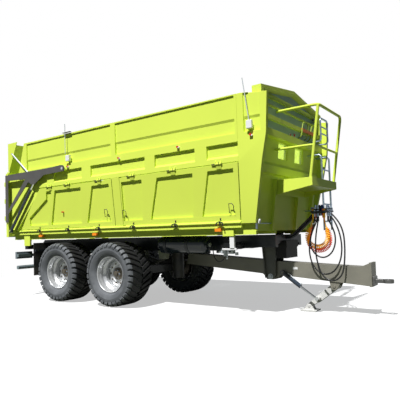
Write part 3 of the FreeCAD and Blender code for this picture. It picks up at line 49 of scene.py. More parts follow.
cameraValues = {
    "place": (4.822, -6.674, 1.199),
    "azimuth": 38.15,
    "pitch": 2.705,
    "roll": -1.616,
    "lens": 40.87,
    "sensor": 36,
    "shiftX": 0.1017,
    "shiftY": 0.0303,
    "clipEnd": 200,
}


def placeCamera(values):
    camera = bpy.data.objects.new("camera", bpy.data.cameras.new("camera"))
    bpy.context.collection.objects.link(camera)
    turn = math.radians(values["azimuth"])
    rise = math.radians(values["pitch"])
    roll = math.radians(values["roll"])
    ahead = Vector((-math.sin(turn) * math.cos(rise), math.cos(turn) * math.cos(rise), math.sin(rise)))
    right = Vector((math.cos(turn), math.sin(turn), 0))
    up = right.cross(ahead)
    side = right * math.cos(roll) + up * math.sin(roll)
    top = up * math.cos(roll) - right * math.sin(roll)
    basis = Matrix((side, top, -ahead)).transposed().to_4x4()
    camera.matrix_world = Matrix.Translation(values["place"]) @ basis
    camera.data.sensor_width = values["sensor"]
    camera.data.lens = values["lens"]
    camera.data.shift_x = values["shiftX"]
    camera.data.shift_y = values["shiftY"]
    camera.data.clip_end = values["clipEnd"]
    bpy.context.scene.camera = camera


placeCamera(cameraValues)
print("camera placed")


# shader nodes shared by the materials: paint with clouds in its tone, and dust that lies thicker low down

coatValues = {
    "cloudDetail": 4,
    "cloudRange": (0.3, 0.7),
    "grainScale": 160,
    "grainDetail": 2,
    "grainDepth": 0.002,
    "patchScale": 6,
    "patchDetail": 6,
    "patchRange": (0.42, 0.66),
    "dustFade": (0.1, 1.0),
    "dustRoughness": 0.5,
    "coatRoughness": 0.08,
}


def newGroup(name, inputs, outputs):
    group = bpy.data.node_groups.new(name, "ShaderNodeTree")
    for label, kind in inputs:
        group.interface.new_socket(name=label, in_out="INPUT", socket_type=kind)
    for label, kind in outputs:
        group.interface.new_socket(name=label, in_out="OUTPUT", socket_type=kind)
    return group, group.nodes.new("NodeGroupInput"), group.nodes.new("NodeGroupOutput")


# a number or a colour is set on a socket, and anything else is linked to it
def feed(group, socket, value):
    if isinstance(value, (int, float, tuple)):
        socket.default_value = value
    else:
        group.links.new(value, socket)


def noiseNode(group, vector, scale, detail):
    noise = group.nodes.new("ShaderNodeTexNoise")
    noise.inputs["Detail"].default_value = detail
    group.links.new(vector, noise.inputs["Vector"])
    feed(group, noise.inputs["Scale"], scale)
    return noise


def rangeNode(group, value, low, high, toLow=0.0, toHigh=1.0):
    node = group.nodes.new("ShaderNodeMapRange")
    node.inputs["From Min"].default_value = low
    node.inputs["From Max"].default_value = high
    node.inputs["To Min"].default_value = toLow
    node.inputs["To Max"].default_value = toHigh
    group.links.new(value, node.inputs["Value"])
    return node


def mathNode(group, operation, first, second):
    node = group.nodes.new("ShaderNodeMath")
    node.operation = operation
    feed(group, node.inputs[0], first)
    feed(group, node.inputs[1], second)
    return node


def mixColour(group, factor, first, second):
    node = group.nodes.new("ShaderNodeMix")
    node.data_type = "RGBA"
    for label, value in (("Factor", factor), ("A", first), ("B", second)):
        socket = next(s for s in node.inputs if s.name == label and (s.type == "RGBA") == (label != "Factor"))
        feed(group, socket, value)
    return next(s for s in node.outputs if s.type == "RGBA")


# aged paint: its tone wanders a little, and patches of dust lie on it near the ground
def makeCoatGroup(values):
    group, given, result = newGroup(
        "agedCoat",
        [("Vector", "NodeSocketVector"), ("Colour", "NodeSocketColor"), ("Dust Colour", "NodeSocketColor"),
         ("Tone", "NodeSocketFloat"), ("Cloud Scale", "NodeSocketFloat"), ("Dust", "NodeSocketFloat"),
         ("Dust Height", "NodeSocketFloat"), ("Roughness", "NodeSocketFloat")],
        [("Colour", "NodeSocketColor"), ("Roughness", "NodeSocketFloat"), ("Grain", "NodeSocketFloat")])
    vector = given.outputs["Vector"]
    clouds = noiseNode(group, vector, given.outputs["Cloud Scale"], values["cloudDetail"])
    fine = noiseNode(group, vector, values["grainScale"], values["grainDetail"])
    tone = rangeNode(group, clouds.outputs["Fac"], *values["cloudRange"], -1, 1)
    shift = mathNode(group, "MULTIPLY", tone.outputs["Result"], given.outputs["Tone"])
    bright = mathNode(group, "ADD", shift.outputs[0], 1.0)
    scaled = group.nodes.new("ShaderNodeVectorMath")
    scaled.operation = "SCALE"
    group.links.new(given.outputs["Colour"], scaled.inputs[0])
    group.links.new(bright.outputs[0], scaled.inputs["Scale"])
    place = group.nodes.new("ShaderNodeSeparateXYZ")
    group.links.new(vector, place.inputs[0])
    height = mathNode(group, "DIVIDE", place.outputs["Z"], given.outputs["Dust Height"])
    low = rangeNode(group, height.outputs[0], *values["dustFade"], 1, 0)
    spots = noiseNode(group, vector, values["patchScale"], values["patchDetail"])
    patches = rangeNode(group, spots.outputs["Fac"], *values["patchRange"])
    dust = mathNode(group, "MULTIPLY", low.outputs["Result"], patches.outputs["Result"])
    amount = mathNode(group, "MULTIPLY", dust.outputs[0], given.outputs["Dust"])
    colour = mixColour(group, amount.outputs[0], scaled.outputs["Vector"], given.outputs["Dust Colour"])
    group.links.new(colour, result.inputs["Colour"])
    rough = mathNode(group, "MULTIPLY_ADD", amount.outputs[0], values["dustRoughness"])
    group.links.new(given.outputs["Roughness"], rough.inputs[2])
    group.links.new(rough.outputs[0], result.inputs["Roughness"])
    group.links.new(fine.outputs["Fac"], result.inputs["Grain"])
    return group


coatGroup = makeCoatGroup(coatValues)


def shaderOf(tree):
    return next(n for n in tree.nodes if n.type == "BSDF_PRINCIPLED")


def newMaterial(name):
    material = bpy.data.materials.new(name)
    material.use_nodes = True
    tree = material.node_tree
    place = tree.nodes.new("ShaderNodeTexCoord")
    return material, tree, shaderOf(tree), place.outputs["Object"]


# what a finish has where it says nothing else
plainFinish = {
    "dustColour": (0.30, 0.28, 0.22),
    "tone": 0.05,
    "clouds": 1.5,
    "dust": 0.0,
    "dustHeight": 1.2,
    "metallic": 0.0,
    "coat": 0.0,
    "specular": 0.5,
    "grain": 0.05,
}


def coatedMaterial(name, values):
    look = {**plainFinish, **values}
    material, tree, shader, vector = newMaterial(name)
    coat = tree.nodes.new("ShaderNodeGroup")
    coat.node_tree = coatGroup
    tree.links.new(vector, coat.inputs["Vector"])
    coat.inputs["Colour"].default_value = (*look["colour"], 1)
    coat.inputs["Dust Colour"].default_value = (*look["dustColour"], 1)
    for label, key in (("Tone", "tone"), ("Cloud Scale", "clouds"), ("Dust", "dust"),
                       ("Dust Height", "dustHeight"), ("Roughness", "roughness")):
        coat.inputs[label].default_value = look[key]
    tree.links.new(coat.outputs["Colour"], shader.inputs["Base Color"])
    tree.links.new(coat.outputs["Roughness"], shader.inputs["Roughness"])
    for label, key in (("Metallic", "metallic"), ("Coat Weight", "coat"), ("Specular IOR Level", "specular")):
        shader.inputs[label].default_value = look[key]
    shader.inputs["Coat Roughness"].default_value = coatValues["coatRoughness"]
    bump = tree.nodes.new("ShaderNodeBump")
    bump.inputs["Strength"].default_value = look["grain"]
    bump.inputs["Distance"].default_value = coatValues["grainDepth"]
    tree.links.new(coat.outputs["Grain"], bump.inputs["Height"])
    tree.links.new(bump.outputs["Normal"], shader.inputs["Normal"])
    return material


finishes = {
    "bodyPaint": {"colour": (0.7, 0.83, 0.11), "roughness": 0.34, "coat": 0.02, "specular": 0.12,
                  "tone": 0.03, "clouds": 0.8, "dust": 0.03, "dustHeight": 1.5},
    "floorPaint": {"colour": (0.4, 0.48, 0.1), "roughness": 0.5, "tone": 0.12, "clouds": 3.0},
    # near black with a blue tint: the tint is painted reflection of the sky
    "framePaint": {"colour": (0.014, 0.018, 0.024), "roughness": 0.38, "coat": 0.2, "tone": 0.2,
                   "dust": 0.5, "dustHeight": 1.0},
    "drawbarPaint": {"colour": (0.235, 0.225, 0.185), "roughness": 0.38, "metallic": 0.25, "tone": 0.07,
                     "clouds": 5.0, "dust": 0.3},
    "gatePaint": {"colour": (0.13, 0.125, 0.12), "roughness": 0.38, "metallic": 0.3, "tone": 0.12,
                  "clouds": 4.0},
    "hangerPaint": {"colour": (0.6, 0.58, 0.5), "roughness": 0.5, "tone": 0.12, "clouds": 6.0, "dust": 0.4},
    "legPaint": {"colour": (0.62, 0.615, 0.59), "roughness": 0.45, "tone": 0.05, "clouds": 9.0,
                 "grain": 0.1},
    "springPaint": {"colour": (0.045, 0.045, 0.047), "roughness": 0.5, "tone": 0.2, "dust": 0.5},
    # black paint with a blue tint: the tint is painted reflection of the sky
    "glossBlack": {"colour": (0.022, 0.034, 0.052), "roughness": 0.16, "coat": 0.5, "specular": 0.5,
                   "tone": 0.1},
    "darkRubber": {"colour": (0.02, 0.02, 0.021), "roughness": 0.6, "tone": 0.25, "clouds": 4.0,
                   "dust": 0.5},
    "hoseRubber": {"colour": (0.014, 0.014, 0.015), "roughness": 0.36, "tone": 0.2, "clouds": 8.0},
    "rimPaint": {"colour": (0.62, 0.63, 0.64), "roughness": 0.3, "metallic": 0.55, "tone": 0.08,
                 "clouds": 6.0, "dust": 0.25},
    "hubPaint": {"colour": (0.16, 0.14, 0.11), "roughness": 0.4, "metallic": 0.6, "tone": 0.25,
                 "clouds": 14.0},
    "zinc": {"colour": (0.44, 0.53, 0.66), "roughness": 0.34, "metallic": 0.85, "tone": 0.2,
             "clouds": 18.0},
    "chrome": {"colour": (0.78, 0.79, 0.81), "roughness": 0.08, "metallic": 1.0, "tone": 0.03},
    "amberLens": {"colour": (1.0, 0.27, 0.012), "roughness": 0.2, "coat": 0.2, "tone": 0.08,
                  "clouds": 30.0},
    "redLens": {"colour": (0.62, 0.02, 0.015), "roughness": 0.15, "coat": 0.6, "tone": 0.08,
                "clouds": 30.0},
    "greyPlastic": {"colour": (0.16, 0.19, 0.21), "roughness": 0.4, "tone": 0.08, "clouds": 10.0},
    "whitePlastic": {"colour": (0.8, 0.8, 0.8), "roughness": 0.35, "tone": 0.04, "clouds": 12.0},
    "blackPlastic": {"colour": (0.02, 0.02, 0.022), "roughness": 0.35, "tone": 0.1, "clouds": 12.0},
    "redLine": {"colour": (1.0, 0.11, 0.045), "roughness": 0.4, "coat": 0.1, "tone": 0.08, "clouds": 12.0},
    "yellowLine": {"colour": (1.0, 0.5, 0.012), "roughness": 0.4, "coat": 0.1, "tone": 0.08,
                   "clouds": 12.0},
    "blueCap": {"colour": (0.03, 0.12, 0.55), "roughness": 0.3, "tone": 0.05},
    # body green darkened: painted shade for the gable's louvre slats, hand grips and grip bars
    "bodyPaintedShade": {"colour": (0.24, 0.34, 0.02), "roughness": 0.5, "tone": 0.1},
    # green paint turned blue-green: painted reflection of the sky on the gable's sunk sheets
    "gableSkyReflection": {"colour": (0.4, 0.56, 0.52), "roughness": 0.45, "specular": 0.4, "tone": 0.05,
                   "clouds": 2.0},
    "warmRed": {"colour": (0.8, 0.16, 0.02), "roughness": 0.4, "tone": 0.08, "clouds": 9.0},
    "paleSteel": {"colour": (0.66, 0.7, 0.74), "roughness": 0.35, "metallic": 0.3, "tone": 0.06,
                  "clouds": 16.0},
    "shadowPaint": {"colour": (0.007, 0.007, 0.007), "roughness": 0.5, "specular": 0.25, "tone": 0.2,
                    "dust": 0.1},
    "headPaint": {"colour": (0.15, 0.148, 0.138), "roughness": 0.42, "tone": 0.2, "clouds": 5.0,
                  "dust": 0.4},
    "eyeSteel": {"colour": (0.15, 0.148, 0.142), "roughness": 0.35, "metallic": 0.5, "tone": 0.15,
                 "clouds": 14.0},
    "barPaint": {"colour": (0.2, 0.25, 0.26), "roughness": 0.4, "metallic": 0.2, "tone": 0.12,
                 "clouds": 9.0},
    "tyreRubber": {"colour": (0.092, 0.098, 0.106), "roughness": 0.6, "tone": 0.12, "clouds": 5.0,
                   "dust": 0.7, "dustColour": (0.17, 0.178, 0.19), "dustHeight": 2.2, "grain": 0.25},
    # rubber darker than the sidewall's: painted shade on the tread
    "treadRubberPaintedShade": {"colour": (0.01, 0.01, 0.01), "roughness": 0.6, "tone": 0.25, "clouds": 7.0,
                    "dust": 0.3, "dustColour": (0.035, 0.035, 0.032), "dustHeight": 2.2, "grain": 0.2},
    "windowPane": {"colour": (0.94, 1.0, 0.9), "roughness": 0.02, "tone": 0.0, "grain": 0.0},
}
materials = {name: coatedMaterial(name, values) for name, values in finishes.items()}

clearValues = {
    "paneClearness": 0.88,
    "paneBend": 1.05,
    "linePaintedSun": 0.12,   # painted light: a glow that stands in for sun on the thin lines
}


# window panes that are seen through, and curly lines that glow a little with painted light
def makeClear(values):
    shader = shaderOf(materials["windowPane"].node_tree)
    shader.inputs["Transmission Weight"].default_value = values["paneClearness"]
    shader.inputs["IOR"].default_value = values["paneBend"]
    for name in ("redLine", "yellowLine"):
        shader = shaderOf(materials[name].node_tree)
        shader.inputs["Emission Color"].default_value = (*finishes[name]["colour"], 1)
        shader.inputs["Emission Strength"].default_value = values["linePaintedSun"]


makeClear(clearValues)
print("materials made:", len(materials))


# mesh helpers

edgeValues = {
    "weld": 1e-5,
    "crease": 35,
    "bevelAngle": 32,
    "bevelSteps": 2,
    "nodeWeld": 2e-5,
    "flatAngle": 0.5,
}


# a finished piece: smooth but for its creases, painted, and riding on its body
def finishMesh(shape, name, material, body, bevel=0.0, flat=False, crease=edgeValues["crease"]):
    bmesh.ops.remove_doubles(shape, verts=shape.verts, dist=edgeValues["weld"])
    bmesh.ops.recalc_face_normals(shape, faces=shape.faces)
    for face in shape.faces:
        face.smooth = not flat
    for edge in shape.edges:
        edge.smooth = len(edge.link_faces) == 2 and edge.calc_face_angle(0) < math.radians(crease)
    mesh = bpy.data.meshes.new(name)
    shape.to_mesh(mesh)
    shape.free()
    piece = bpy.data.objects.new(name, mesh)
    bpy.context.collection.objects.link(piece)
    mesh.materials.append(materials[material])
    if bevel:
        addBevel(piece, bevel)
    if body:
        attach(piece, body)
    return piece


def addBevel(piece, width):
    bevel = piece.modifiers.new("softEdges", "BEVEL")
    bevel.width = width
    bevel.segments = edgeValues["bevelSteps"]
    bevel.limit_method = "ANGLE"
    bevel.angle_limit = math.radians(edgeValues["bevelAngle"])
    bevel.harden_normals = True


def addBox(shape, low, high):
    size = [b - a for a, b in zip(low, high)]
    middle = [(a + b) / 2 for a, b in zip(low, high)]
    matrix = Matrix.Translation(middle) @ Matrix.Diagonal((*size, 1))
    bmesh.ops.create_cube(shape, size=1, matrix=matrix)


def turnTo(direction):
    return Vector(direction).to_track_quat("Z", "Y").to_matrix().to_4x4()


def addRod(shape, start, end, radius, sides=16):
    start = Vector(start)
    end = Vector(end)
    matrix = Matrix.Translation((start + end) / 2) @ turnTo(end - start)
    bmesh.ops.create_cone(shape, cap_ends=True, segments=sides, radius1=radius, radius2=radius,
                          depth=(end - start).length, matrix=matrix)


# an outline carried along a straight run
def addPrism(shape, outline, run):
    near = [shape.verts.new(point) for point in outline]
    far = [shape.verts.new(Vector(point) + Vector(run)) for point in outline]
    shape.faces.new(near)
    shape.faces.new(list(reversed(far)))
    count = len(near)
    for i in range(count):
        shape.faces.new((near[i], far[i], far[(i + 1) % count], near[(i + 1) % count]))


# a profile of radii and offsets turned round an axis along Y; a closed one makes a ring
def addTurned(shape, profile, centre, steps, closed=False):
    rings = []
    for radius, offset in profile:
        loop = []
        for i in range(steps):
            angle = 2 * math.pi * i / steps
            point = Vector((radius * math.cos(angle), offset, radius * math.sin(angle)))
            loop.append(shape.verts.new(Vector(centre) + point))
        rings.append(loop)
    pairs = list(zip(rings, rings[1:]))
    if closed:
        pairs.append((rings[-1], rings[0]))
    for first, second in pairs:
        for i in range(steps):
            k = (i + 1) % steps
            shape.faces.new((first[i], first[k], second[k], second[i]))
    if not closed:
        if profile[0][0] > 1e-6:
            shape.faces.new(rings[0])
        if profile[-1][0] > 1e-6:
            shape.faces.new(rings[-1])


# a round pipe along points, bent smoothly or with corners
def tube(name, points, radius, material, body, smooth=True, link=True):
    curve = bpy.data.curves.new(name, "CURVE")
    curve.dimensions = "3D"
    spline = curve.splines.new("NURBS" if smooth else "POLY")
    spline.points.add(len(points) - 1)
    for point, place in zip(spline.points, points):
        point.co = (*place, 1)
        point.radius = radius
    if smooth:
        spline.order_u = 3
        spline.use_endpoint_u = True
        spline.resolution_u = 8
    curve.bevel_depth = 1.0 if radius else 0.0   # each point's radius makes the tube
    curve.bevel_resolution = 3
    curve.use_fill_caps = True
    piece = bpy.data.objects.new(name, curve)
    if link:
        bpy.context.collection.objects.link(piece)
    curve.materials.append(materials[material])
    if body:
        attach(piece, body)
    return piece


# geometry node trees: parts set round an axis along Y, and parts set in a row

def newTree(name, inputs):
    tree = bpy.data.node_groups.new(name, "GeometryNodeTree")
    tree.interface.new_socket(name="Geometry", in_out="INPUT", socket_type="NodeSocketGeometry")
    for label, kind in inputs:
        tree.interface.new_socket(name=label, in_out="INPUT", socket_type=kind)
    tree.interface.new_socket(name="Geometry", in_out="OUTPUT", socket_type="NodeSocketGeometry")
    return tree, tree.nodes.new("NodeGroupInput"), tree.nodes.new("NodeGroupOutput")


def finishTree(tree, given, result, instances, move=None):
    real = tree.nodes.new("GeometryNodeRealizeInstances")
    tree.links.new(instances, real.inputs[0])
    geometry = real.outputs[0]
    if move is not None:
        shift = tree.nodes.new("GeometryNodeTransform")
        tree.links.new(geometry, shift.inputs["Geometry"])
        tree.links.new(move, shift.inputs["Translation"])
        geometry = shift.outputs[0]
    paint = tree.nodes.new("GeometryNodeSetMaterial")
    tree.links.new(geometry, paint.inputs["Geometry"])
    tree.links.new(given.outputs["Material"], paint.inputs["Material"])
    tree.links.new(paint.outputs[0], result.inputs[0])


def partNode(tree, given):
    info = tree.nodes.new("GeometryNodeObjectInfo")
    tree.links.new(given.outputs["Part"], info.inputs["Object"])
    return info.outputs["Geometry"]


def makeRingTree():
    tree, given, result = newTree("partsRoundAxle", [
        ("Part", "NodeSocketObject"), ("Count", "NodeSocketInt"), ("Centre", "NodeSocketVector"),
        ("Material", "NodeSocketMaterial")])
    points = tree.nodes.new("GeometryNodePoints")
    tree.links.new(given.outputs["Count"], points.inputs["Count"])
    index = tree.nodes.new("GeometryNodeInputIndex")
    share = mathNode(tree, "DIVIDE", index.outputs[0], given.outputs["Count"])
    turn = mathNode(tree, "MULTIPLY", share.outputs[0], 2 * math.pi)
    angle = tree.nodes.new("ShaderNodeCombineXYZ")
    tree.links.new(turn.outputs[0], angle.inputs["Y"])
    copies = tree.nodes.new("GeometryNodeInstanceOnPoints")
    tree.links.new(points.outputs[0], copies.inputs["Points"])
    tree.links.new(partNode(tree, given), copies.inputs["Instance"])
    tree.links.new(angle.outputs[0], copies.inputs["Rotation"])
    finishTree(tree, given, result, copies.outputs[0], given.outputs["Centre"])
    return tree


def makeRowTree():
    tree, given, result = newTree("partsInRow", [
        ("Part", "NodeSocketObject"), ("Count", "NodeSocketInt"), ("Start", "NodeSocketVector"),
        ("Step", "NodeSocketVector"), ("Material", "NodeSocketMaterial")])
    index = tree.nodes.new("GeometryNodeInputIndex")
    along = tree.nodes.new("ShaderNodeVectorMath")
    along.operation = "SCALE"
    tree.links.new(given.outputs["Step"], along.inputs[0])
    tree.links.new(index.outputs[0], along.inputs["Scale"])
    place = tree.nodes.new("ShaderNodeVectorMath")
    tree.links.new(given.outputs["Start"], place.inputs[0])
    tree.links.new(along.outputs["Vector"], place.inputs[1])
    points = tree.nodes.new("GeometryNodePoints")
    tree.links.new(given.outputs["Count"], points.inputs["Count"])
    tree.links.new(place.outputs["Vector"], points.inputs["Position"])
    copies = tree.nodes.new("GeometryNodeInstanceOnPoints")
    tree.links.new(points.outputs[0], copies.inputs["Points"])
    tree.links.new(partNode(tree, given), copies.inputs["Instance"])
    finishTree(tree, given, result, copies.outputs[0])
    return tree


ringTree = makeRingTree()
rowTree = makeRowTree()
spareParts = []


# a piece that one of the trees above makes, kept as a plain mesh
def grown(name, tree, values, body):
    holder = bpy.data.objects.new(name + "Holder", bpy.data.meshes.new(name + "Holder"))
    bpy.context.collection.objects.link(holder)
    modifier = holder.modifiers.new("grow", "NODES")
    modifier.node_group = tree
    sockets = {item.name: item.identifier for item in tree.interface.items_tree if item.in_out == "INPUT"}
    for label, value in values.items():
        modifier[sockets[label]] = value
    graph = bpy.context.evaluated_depsgraph_get()
    mesh = bpy.data.meshes.new_from_object(holder.evaluated_get(graph), depsgraph=graph)
    mesh.name = name
    bpy.data.objects.remove(holder)
    piece = bpy.data.objects.new(name, mesh)
    bpy.context.collection.objects.link(piece)
    if body:
        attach(piece, body)
    return piece


# a part for the trees to copy, taken away at the end
def sparePart(shape, name, material):
    part = finishMesh(shape, name, material, None, flat=True)
    spareParts.append(part)
    return part


def row(name, part, count, start, step, material, body):
    return grown(name, rowTree, {"Part": part, "Count": count, "Start": start, "Step": step,
                                 "Material": materials[material]}, body)


def ring(name, part, count, centre, material, body):
    return grown(name, ringTree, {"Part": part, "Count": count, "Centre": centre,
                                  "Material": materials[material]}, body)


# CAD pieces, most of them with their edges broken

bodyOf = {}
for bodyName, nodeNames in frame["record"]["behaviour"]["bodies"].items():
    for nodeName in nodeNames:
        bodyOf[nodeName] = bodyName


# a copy of a CAD piece with its flat faces joined and its edges broken
def softened(node, material, width, crease):
    shape = bmesh.new()
    shape.from_mesh(nodes[node].data)
    bmesh.ops.remove_doubles(shape, verts=shape.verts, dist=edgeValues["nodeWeld"])
    bmesh.ops.dissolve_limit(shape, angle_limit=math.radians(edgeValues["flatAngle"]),
                             verts=shape.verts, edges=shape.edges)
    piece = finishMesh(shape, node + "Soft", material, None, crease=crease)
    addBevel(piece, width)
    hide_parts(node)
    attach(piece, bodyOf[node])
    return piece


# finish: width of the broken edges, sharpest angle that stays smooth, and the nodes
dressedNodes = {
    "bodyPaint": (0.006, 14, ["sills", "centre_posts", "rear_pillars", "side_belts", "side_boards",
                              "front_pillars", "front_wall", "gable", "platform", "flap_rear_left",
                              "flap_front_left", "flap_rear_right", "flap_front_right", "gate_panel",
                              "gate_board", "tip_brackets"]),
    "framePaint": (0.004, 14, ["chassis_frame", "axles"]),
    "headPaint": (0.004, 14, ["headstock"]),
    "barPaint": (0.004, 14, ["rear_bar"]),
    "drawbarPaint": (0.006, 14, ["drawbar"]),
    "hangerPaint": (0.004, 14, ["spring_hangers"]),
    "springPaint": (0.004, 14, ["leaf_springs"]),
    "eyeSteel": (0.004, 14, ["towing_eye"]),
    "glossBlack": (0.002, 35, ["air_tank"]),
    "gatePaint": (0.003, 14, ["gate_arms"]),
    "legPaint": (0.003, 14, ["parking_leg"]),
}
plainNodes = {
    "floorPaint": ["bed_floor"],
    "bodyPaint": ["platform_rail", "bed_rails", "bed_crossmembers"],
    "zinc": ["ladders"],
    "glossBlack": ["gate_barrels", "leg_barrel"],
    "chrome": ["gate_rods", "leg_rod"],
    "springPaint": ["ram_barrel", "ram_stage_1", "ram_stage_2", "ram_stage_3", "ram_stage_4"],
    "darkRubber": ["mudflaps", "drawbar_buffer"],
    "hoseRubber": ["hose_bundle"],
    "framePaint": ["hose_arm"],
    "greyPlastic": ["rear_lamps"],
}
for materialName, (width, crease, names) in dressedNodes.items():
    for name in names:
        softened(name, materialName, width, crease)
for materialName, names in plainNodes.items():
    for name in names:
        mesh = nodes[name].data
        mesh.materials.clear()
        mesh.materials.append(materials[materialName])


# faces of a piece whose middles and directions pass the test get a second finish
def paintWhere(name, material, test):
    mesh = bpy.data.objects[name].data
    mesh.materials.append(materials[material])
    for face in mesh.polygons:
        if test(face.center, face.normal):
            face.material_index = len(mesh.materials) - 1


# points of a piece that pass the test are moved a little
def shiftWhere(name, shift, test):
    for vertex in bpy.data.objects[name].data.vertices:
        if test(vertex.co):
            vertex.co += Vector(shift)


trimValues = {
    "beamHeights": (2.79, 2.86),
    "beamFront": 2.204,
    "beamHalf": 1.09,
    "beamShift": (0, 0, -0.07),
    "gableFront": 2.246,
    "gableLow": 3.05,
    "gablePeak": 3.250,
    "gableFall": 0.1333,
    "gableShift": (0, 0, 0.046),
    "armBack": -3.38,
    "armShift": (0.058, 0, 0),
    "panelDepth": 2.210,
    "panelReach": 0.004,
    "panelFacing": 0.9,
    "headTop": 0.90,
    "headCorner": (1.955, 0.77),
    "frontBrackets": 0.5,
    "pinPlace": (-1.646, 2.440),
    "pinReach": 0.05,
    "pinFace": 1.250,
}


# the gable's beam goes down and its upper edge up, and the tailgate's arms lose a little at the back
def trimPieces(values):
    low, high = values["beamHeights"]
    shiftWhere("gableSoft", values["beamShift"], lambda p: low < p.z < high and p.x > values["beamFront"]
               and abs(p.y) < values["beamHalf"])
    shiftWhere("gableSoft", values["gableShift"], lambda p: p.x > values["gableFront"]
               and values["gableLow"] < p.z < values["gablePeak"] - values["gableFall"] * abs(p.y))
    shiftWhere("gate_armsSoft", values["armShift"], lambda p: p.x < values["armBack"])


# sunk sheets of the gable with painted sky reflection, painted shade on the top of the headstock and on the
# front brackets, and the bright pins of the tailgate
def paintTrims(values):
    # the gable's sunk sheets take the painted sky reflection
    paintWhere("gableSoft", "gableSkyReflection", lambda p, out: out.x > values["panelFacing"]
               and abs(p.x - values["panelDepth"]) < values["panelReach"])
    cornerX, cornerZ = values["headCorner"]
    paintWhere("headstockSoft", "shadowPaint", lambda p, out: p.z > values["headTop"]
               or (p.x > cornerX and p.z > cornerZ))
    paintWhere("tip_bracketsSoft", "shadowPaint", lambda p, out: p.x > values["frontBrackets"])
    pinX, pinZ = values["pinPlace"]
    for name in ("side_boardsSoft", "side_beltsSoft", "rear_pillarsSoft"):
        paintWhere(name, "paleSteel", lambda p, out: abs(p.y) > values["pinFace"]
                   and math.hypot(p.x - pinX, p.z - pinZ) < values["pinReach"])


trimPieces(trimValues)
paintTrims(trimValues)
print("frame pieces dressed")


# air hoses and curly lines, from their sockets on the hose arm down and back up

cordValues = {
    "socketHeight": 1.4247,
    "hoseRadius": 0.0105,
    "lineRadius": 0.0070,
    "curlRadius": 0.029,
    "turnSpacing": 0.0235,
    "turnPoints": 12,
    "straightStart": 0.20,
    "curlGrowth": 0.05,
    "hoseSteps": 12,
    "lineSteps": 24,
}
socketHeight = cordValues["socketHeight"]

# piece: CAD node, length along its middle, and the points of its route
hoseRoutes = {
    "hoseShort": ("cord_hose_short", 1.485, [
        (2.545, -0.062, socketHeight), (2.545, -0.062, 1.330), (2.480, -0.066, 1.200), (2.430, -0.070, 1.060),
        (2.440, -0.070, 0.920), (2.510, -0.070, 0.815), (2.620, -0.070, 0.780), (2.725, -0.070, 0.840),
        (2.785, -0.070, 0.960), (2.795, -0.070, 1.100), (2.755, -0.066, 1.230), (2.700, -0.062, 1.330),
        (2.700, -0.062, socketHeight)]),
    "hoseMiddle": ("cord_hose_middle", 2.006, [
        (2.520, -0.092, socketHeight), (2.520, -0.092, 1.330), (2.480, -0.105, 1.180), (2.445, -0.135, 1.020),
        (2.440, -0.155, 0.870), (2.475, -0.168, 0.710), (2.560, -0.172, 0.590), (2.680, -0.172, 0.550),
        (2.795, -0.172, 0.605), (2.875, -0.166, 0.740), (2.900, -0.150, 0.900), (2.885, -0.125, 1.060),
        (2.840, -0.105, 1.220), (2.775, -0.094, 1.350), (2.712, -0.088, 1.425)]),
    "hoseLong": ("cord_hose_long", 2.154, [
        (2.570, -0.092, socketHeight), (2.570, -0.092, 1.330), (2.545, -0.130, 1.160), (2.540, -0.175, 0.980),
        (2.555, -0.205, 0.800), (2.600, -0.214, 0.620), (2.650, -0.216, 0.530), (2.730, -0.216, 0.478),
        (2.820, -0.216, 0.482), (2.893, -0.214, 0.545), (2.930, -0.211, 0.640), (2.945, -0.190, 0.810),
        (2.942, -0.160, 1.000), (2.920, -0.130, 1.160), (2.850, -0.104, 1.320), (2.745, -0.092, 1.430)]),
}

# piece: CAD node, finish, and the route that its curl winds round
curlRoutes = {
    "redCurl": ("cord_red", "redLine", [
        (2.500, 0.015, socketHeight), (2.500, 0.015, 1.335), (2.370, 0.018, 1.110), (2.370, 0.020, 1.002),
        (2.413, 0.020, 0.929), (2.486, 0.020, 0.886), (2.572, 0.020, 0.886), (2.645, 0.020, 0.929),
        (2.688, 0.020, 1.002), (2.688, 0.018, 1.110), (2.610, 0.015, 1.324), (2.610, 0.015, socketHeight)]),
    "yellowCurl": ("cord_yellow", "yellowLine", [
        (2.482, -0.038, socketHeight), (2.482, -0.038, 1.332), (2.379, -0.034, 1.140), (2.379, -0.032, 1.055),
        (2.419, -0.032, 0.985), (2.489, -0.032, 0.945), (2.569, -0.032, 0.945), (2.639, -0.032, 0.985),
        (2.679, -0.032, 1.055), (2.679, -0.034, 1.150), (2.640, -0.038, 1.298),
        (2.640, -0.038, socketHeight)]),
}


# points along a route's own smooth line
def readLine(points):
    bare = tube("routeLine", points, 0.0, "hoseRubber", None, link=False)
    bare.data.splines[0].resolution_u = cordValues["lineSteps"]
    mesh = bpy.data.meshes.new_from_object(bare)
    line = [vertex.co.copy() for vertex in mesh.vertices]
    bpy.data.meshes.remove(mesh)
    bpy.data.objects.remove(bare)
    return line


# the helix that a curly line makes round its route, straight for a little at both ends
def curlPoints(line, values, phase):
    lengths = [0.0]
    for first, second in zip(line, line[1:]):
        lengths.append(lengths[-1] + (second - first).length)
    whole = lengths[-1]
    step = values["turnSpacing"] / values["turnPoints"]
    count = int(whole / step)
    points = []
    side = Vector((0, 1, 0))
    segment = 0
    for i in range(count + 1):
        along = whole * i / count
        while segment < len(line) - 2 and lengths[segment + 1] < along:
            segment += 1
        share = (along - lengths[segment]) / (lengths[segment + 1] - lengths[segment])
        middle = line[segment].lerp(line[segment + 1], share)
        ahead = (line[segment + 1] - line[segment]).normalized()
        side = (side - ahead * side.dot(ahead)).normalized()
        other = ahead.cross(side)
        near = min(along, whole - along)
        reach = min(1.0, max(0.0, (near - values["straightStart"]) / values["curlGrowth"]))
        turn = 2 * math.pi * along / values["turnSpacing"] + phase
        radius = values["curlRadius"] * reach
        if reach > 0 or i % values["turnPoints"] == 0:
            points.append(middle + side * (radius * math.cos(turn)) + other * (radius * math.sin(turn)))
    return points


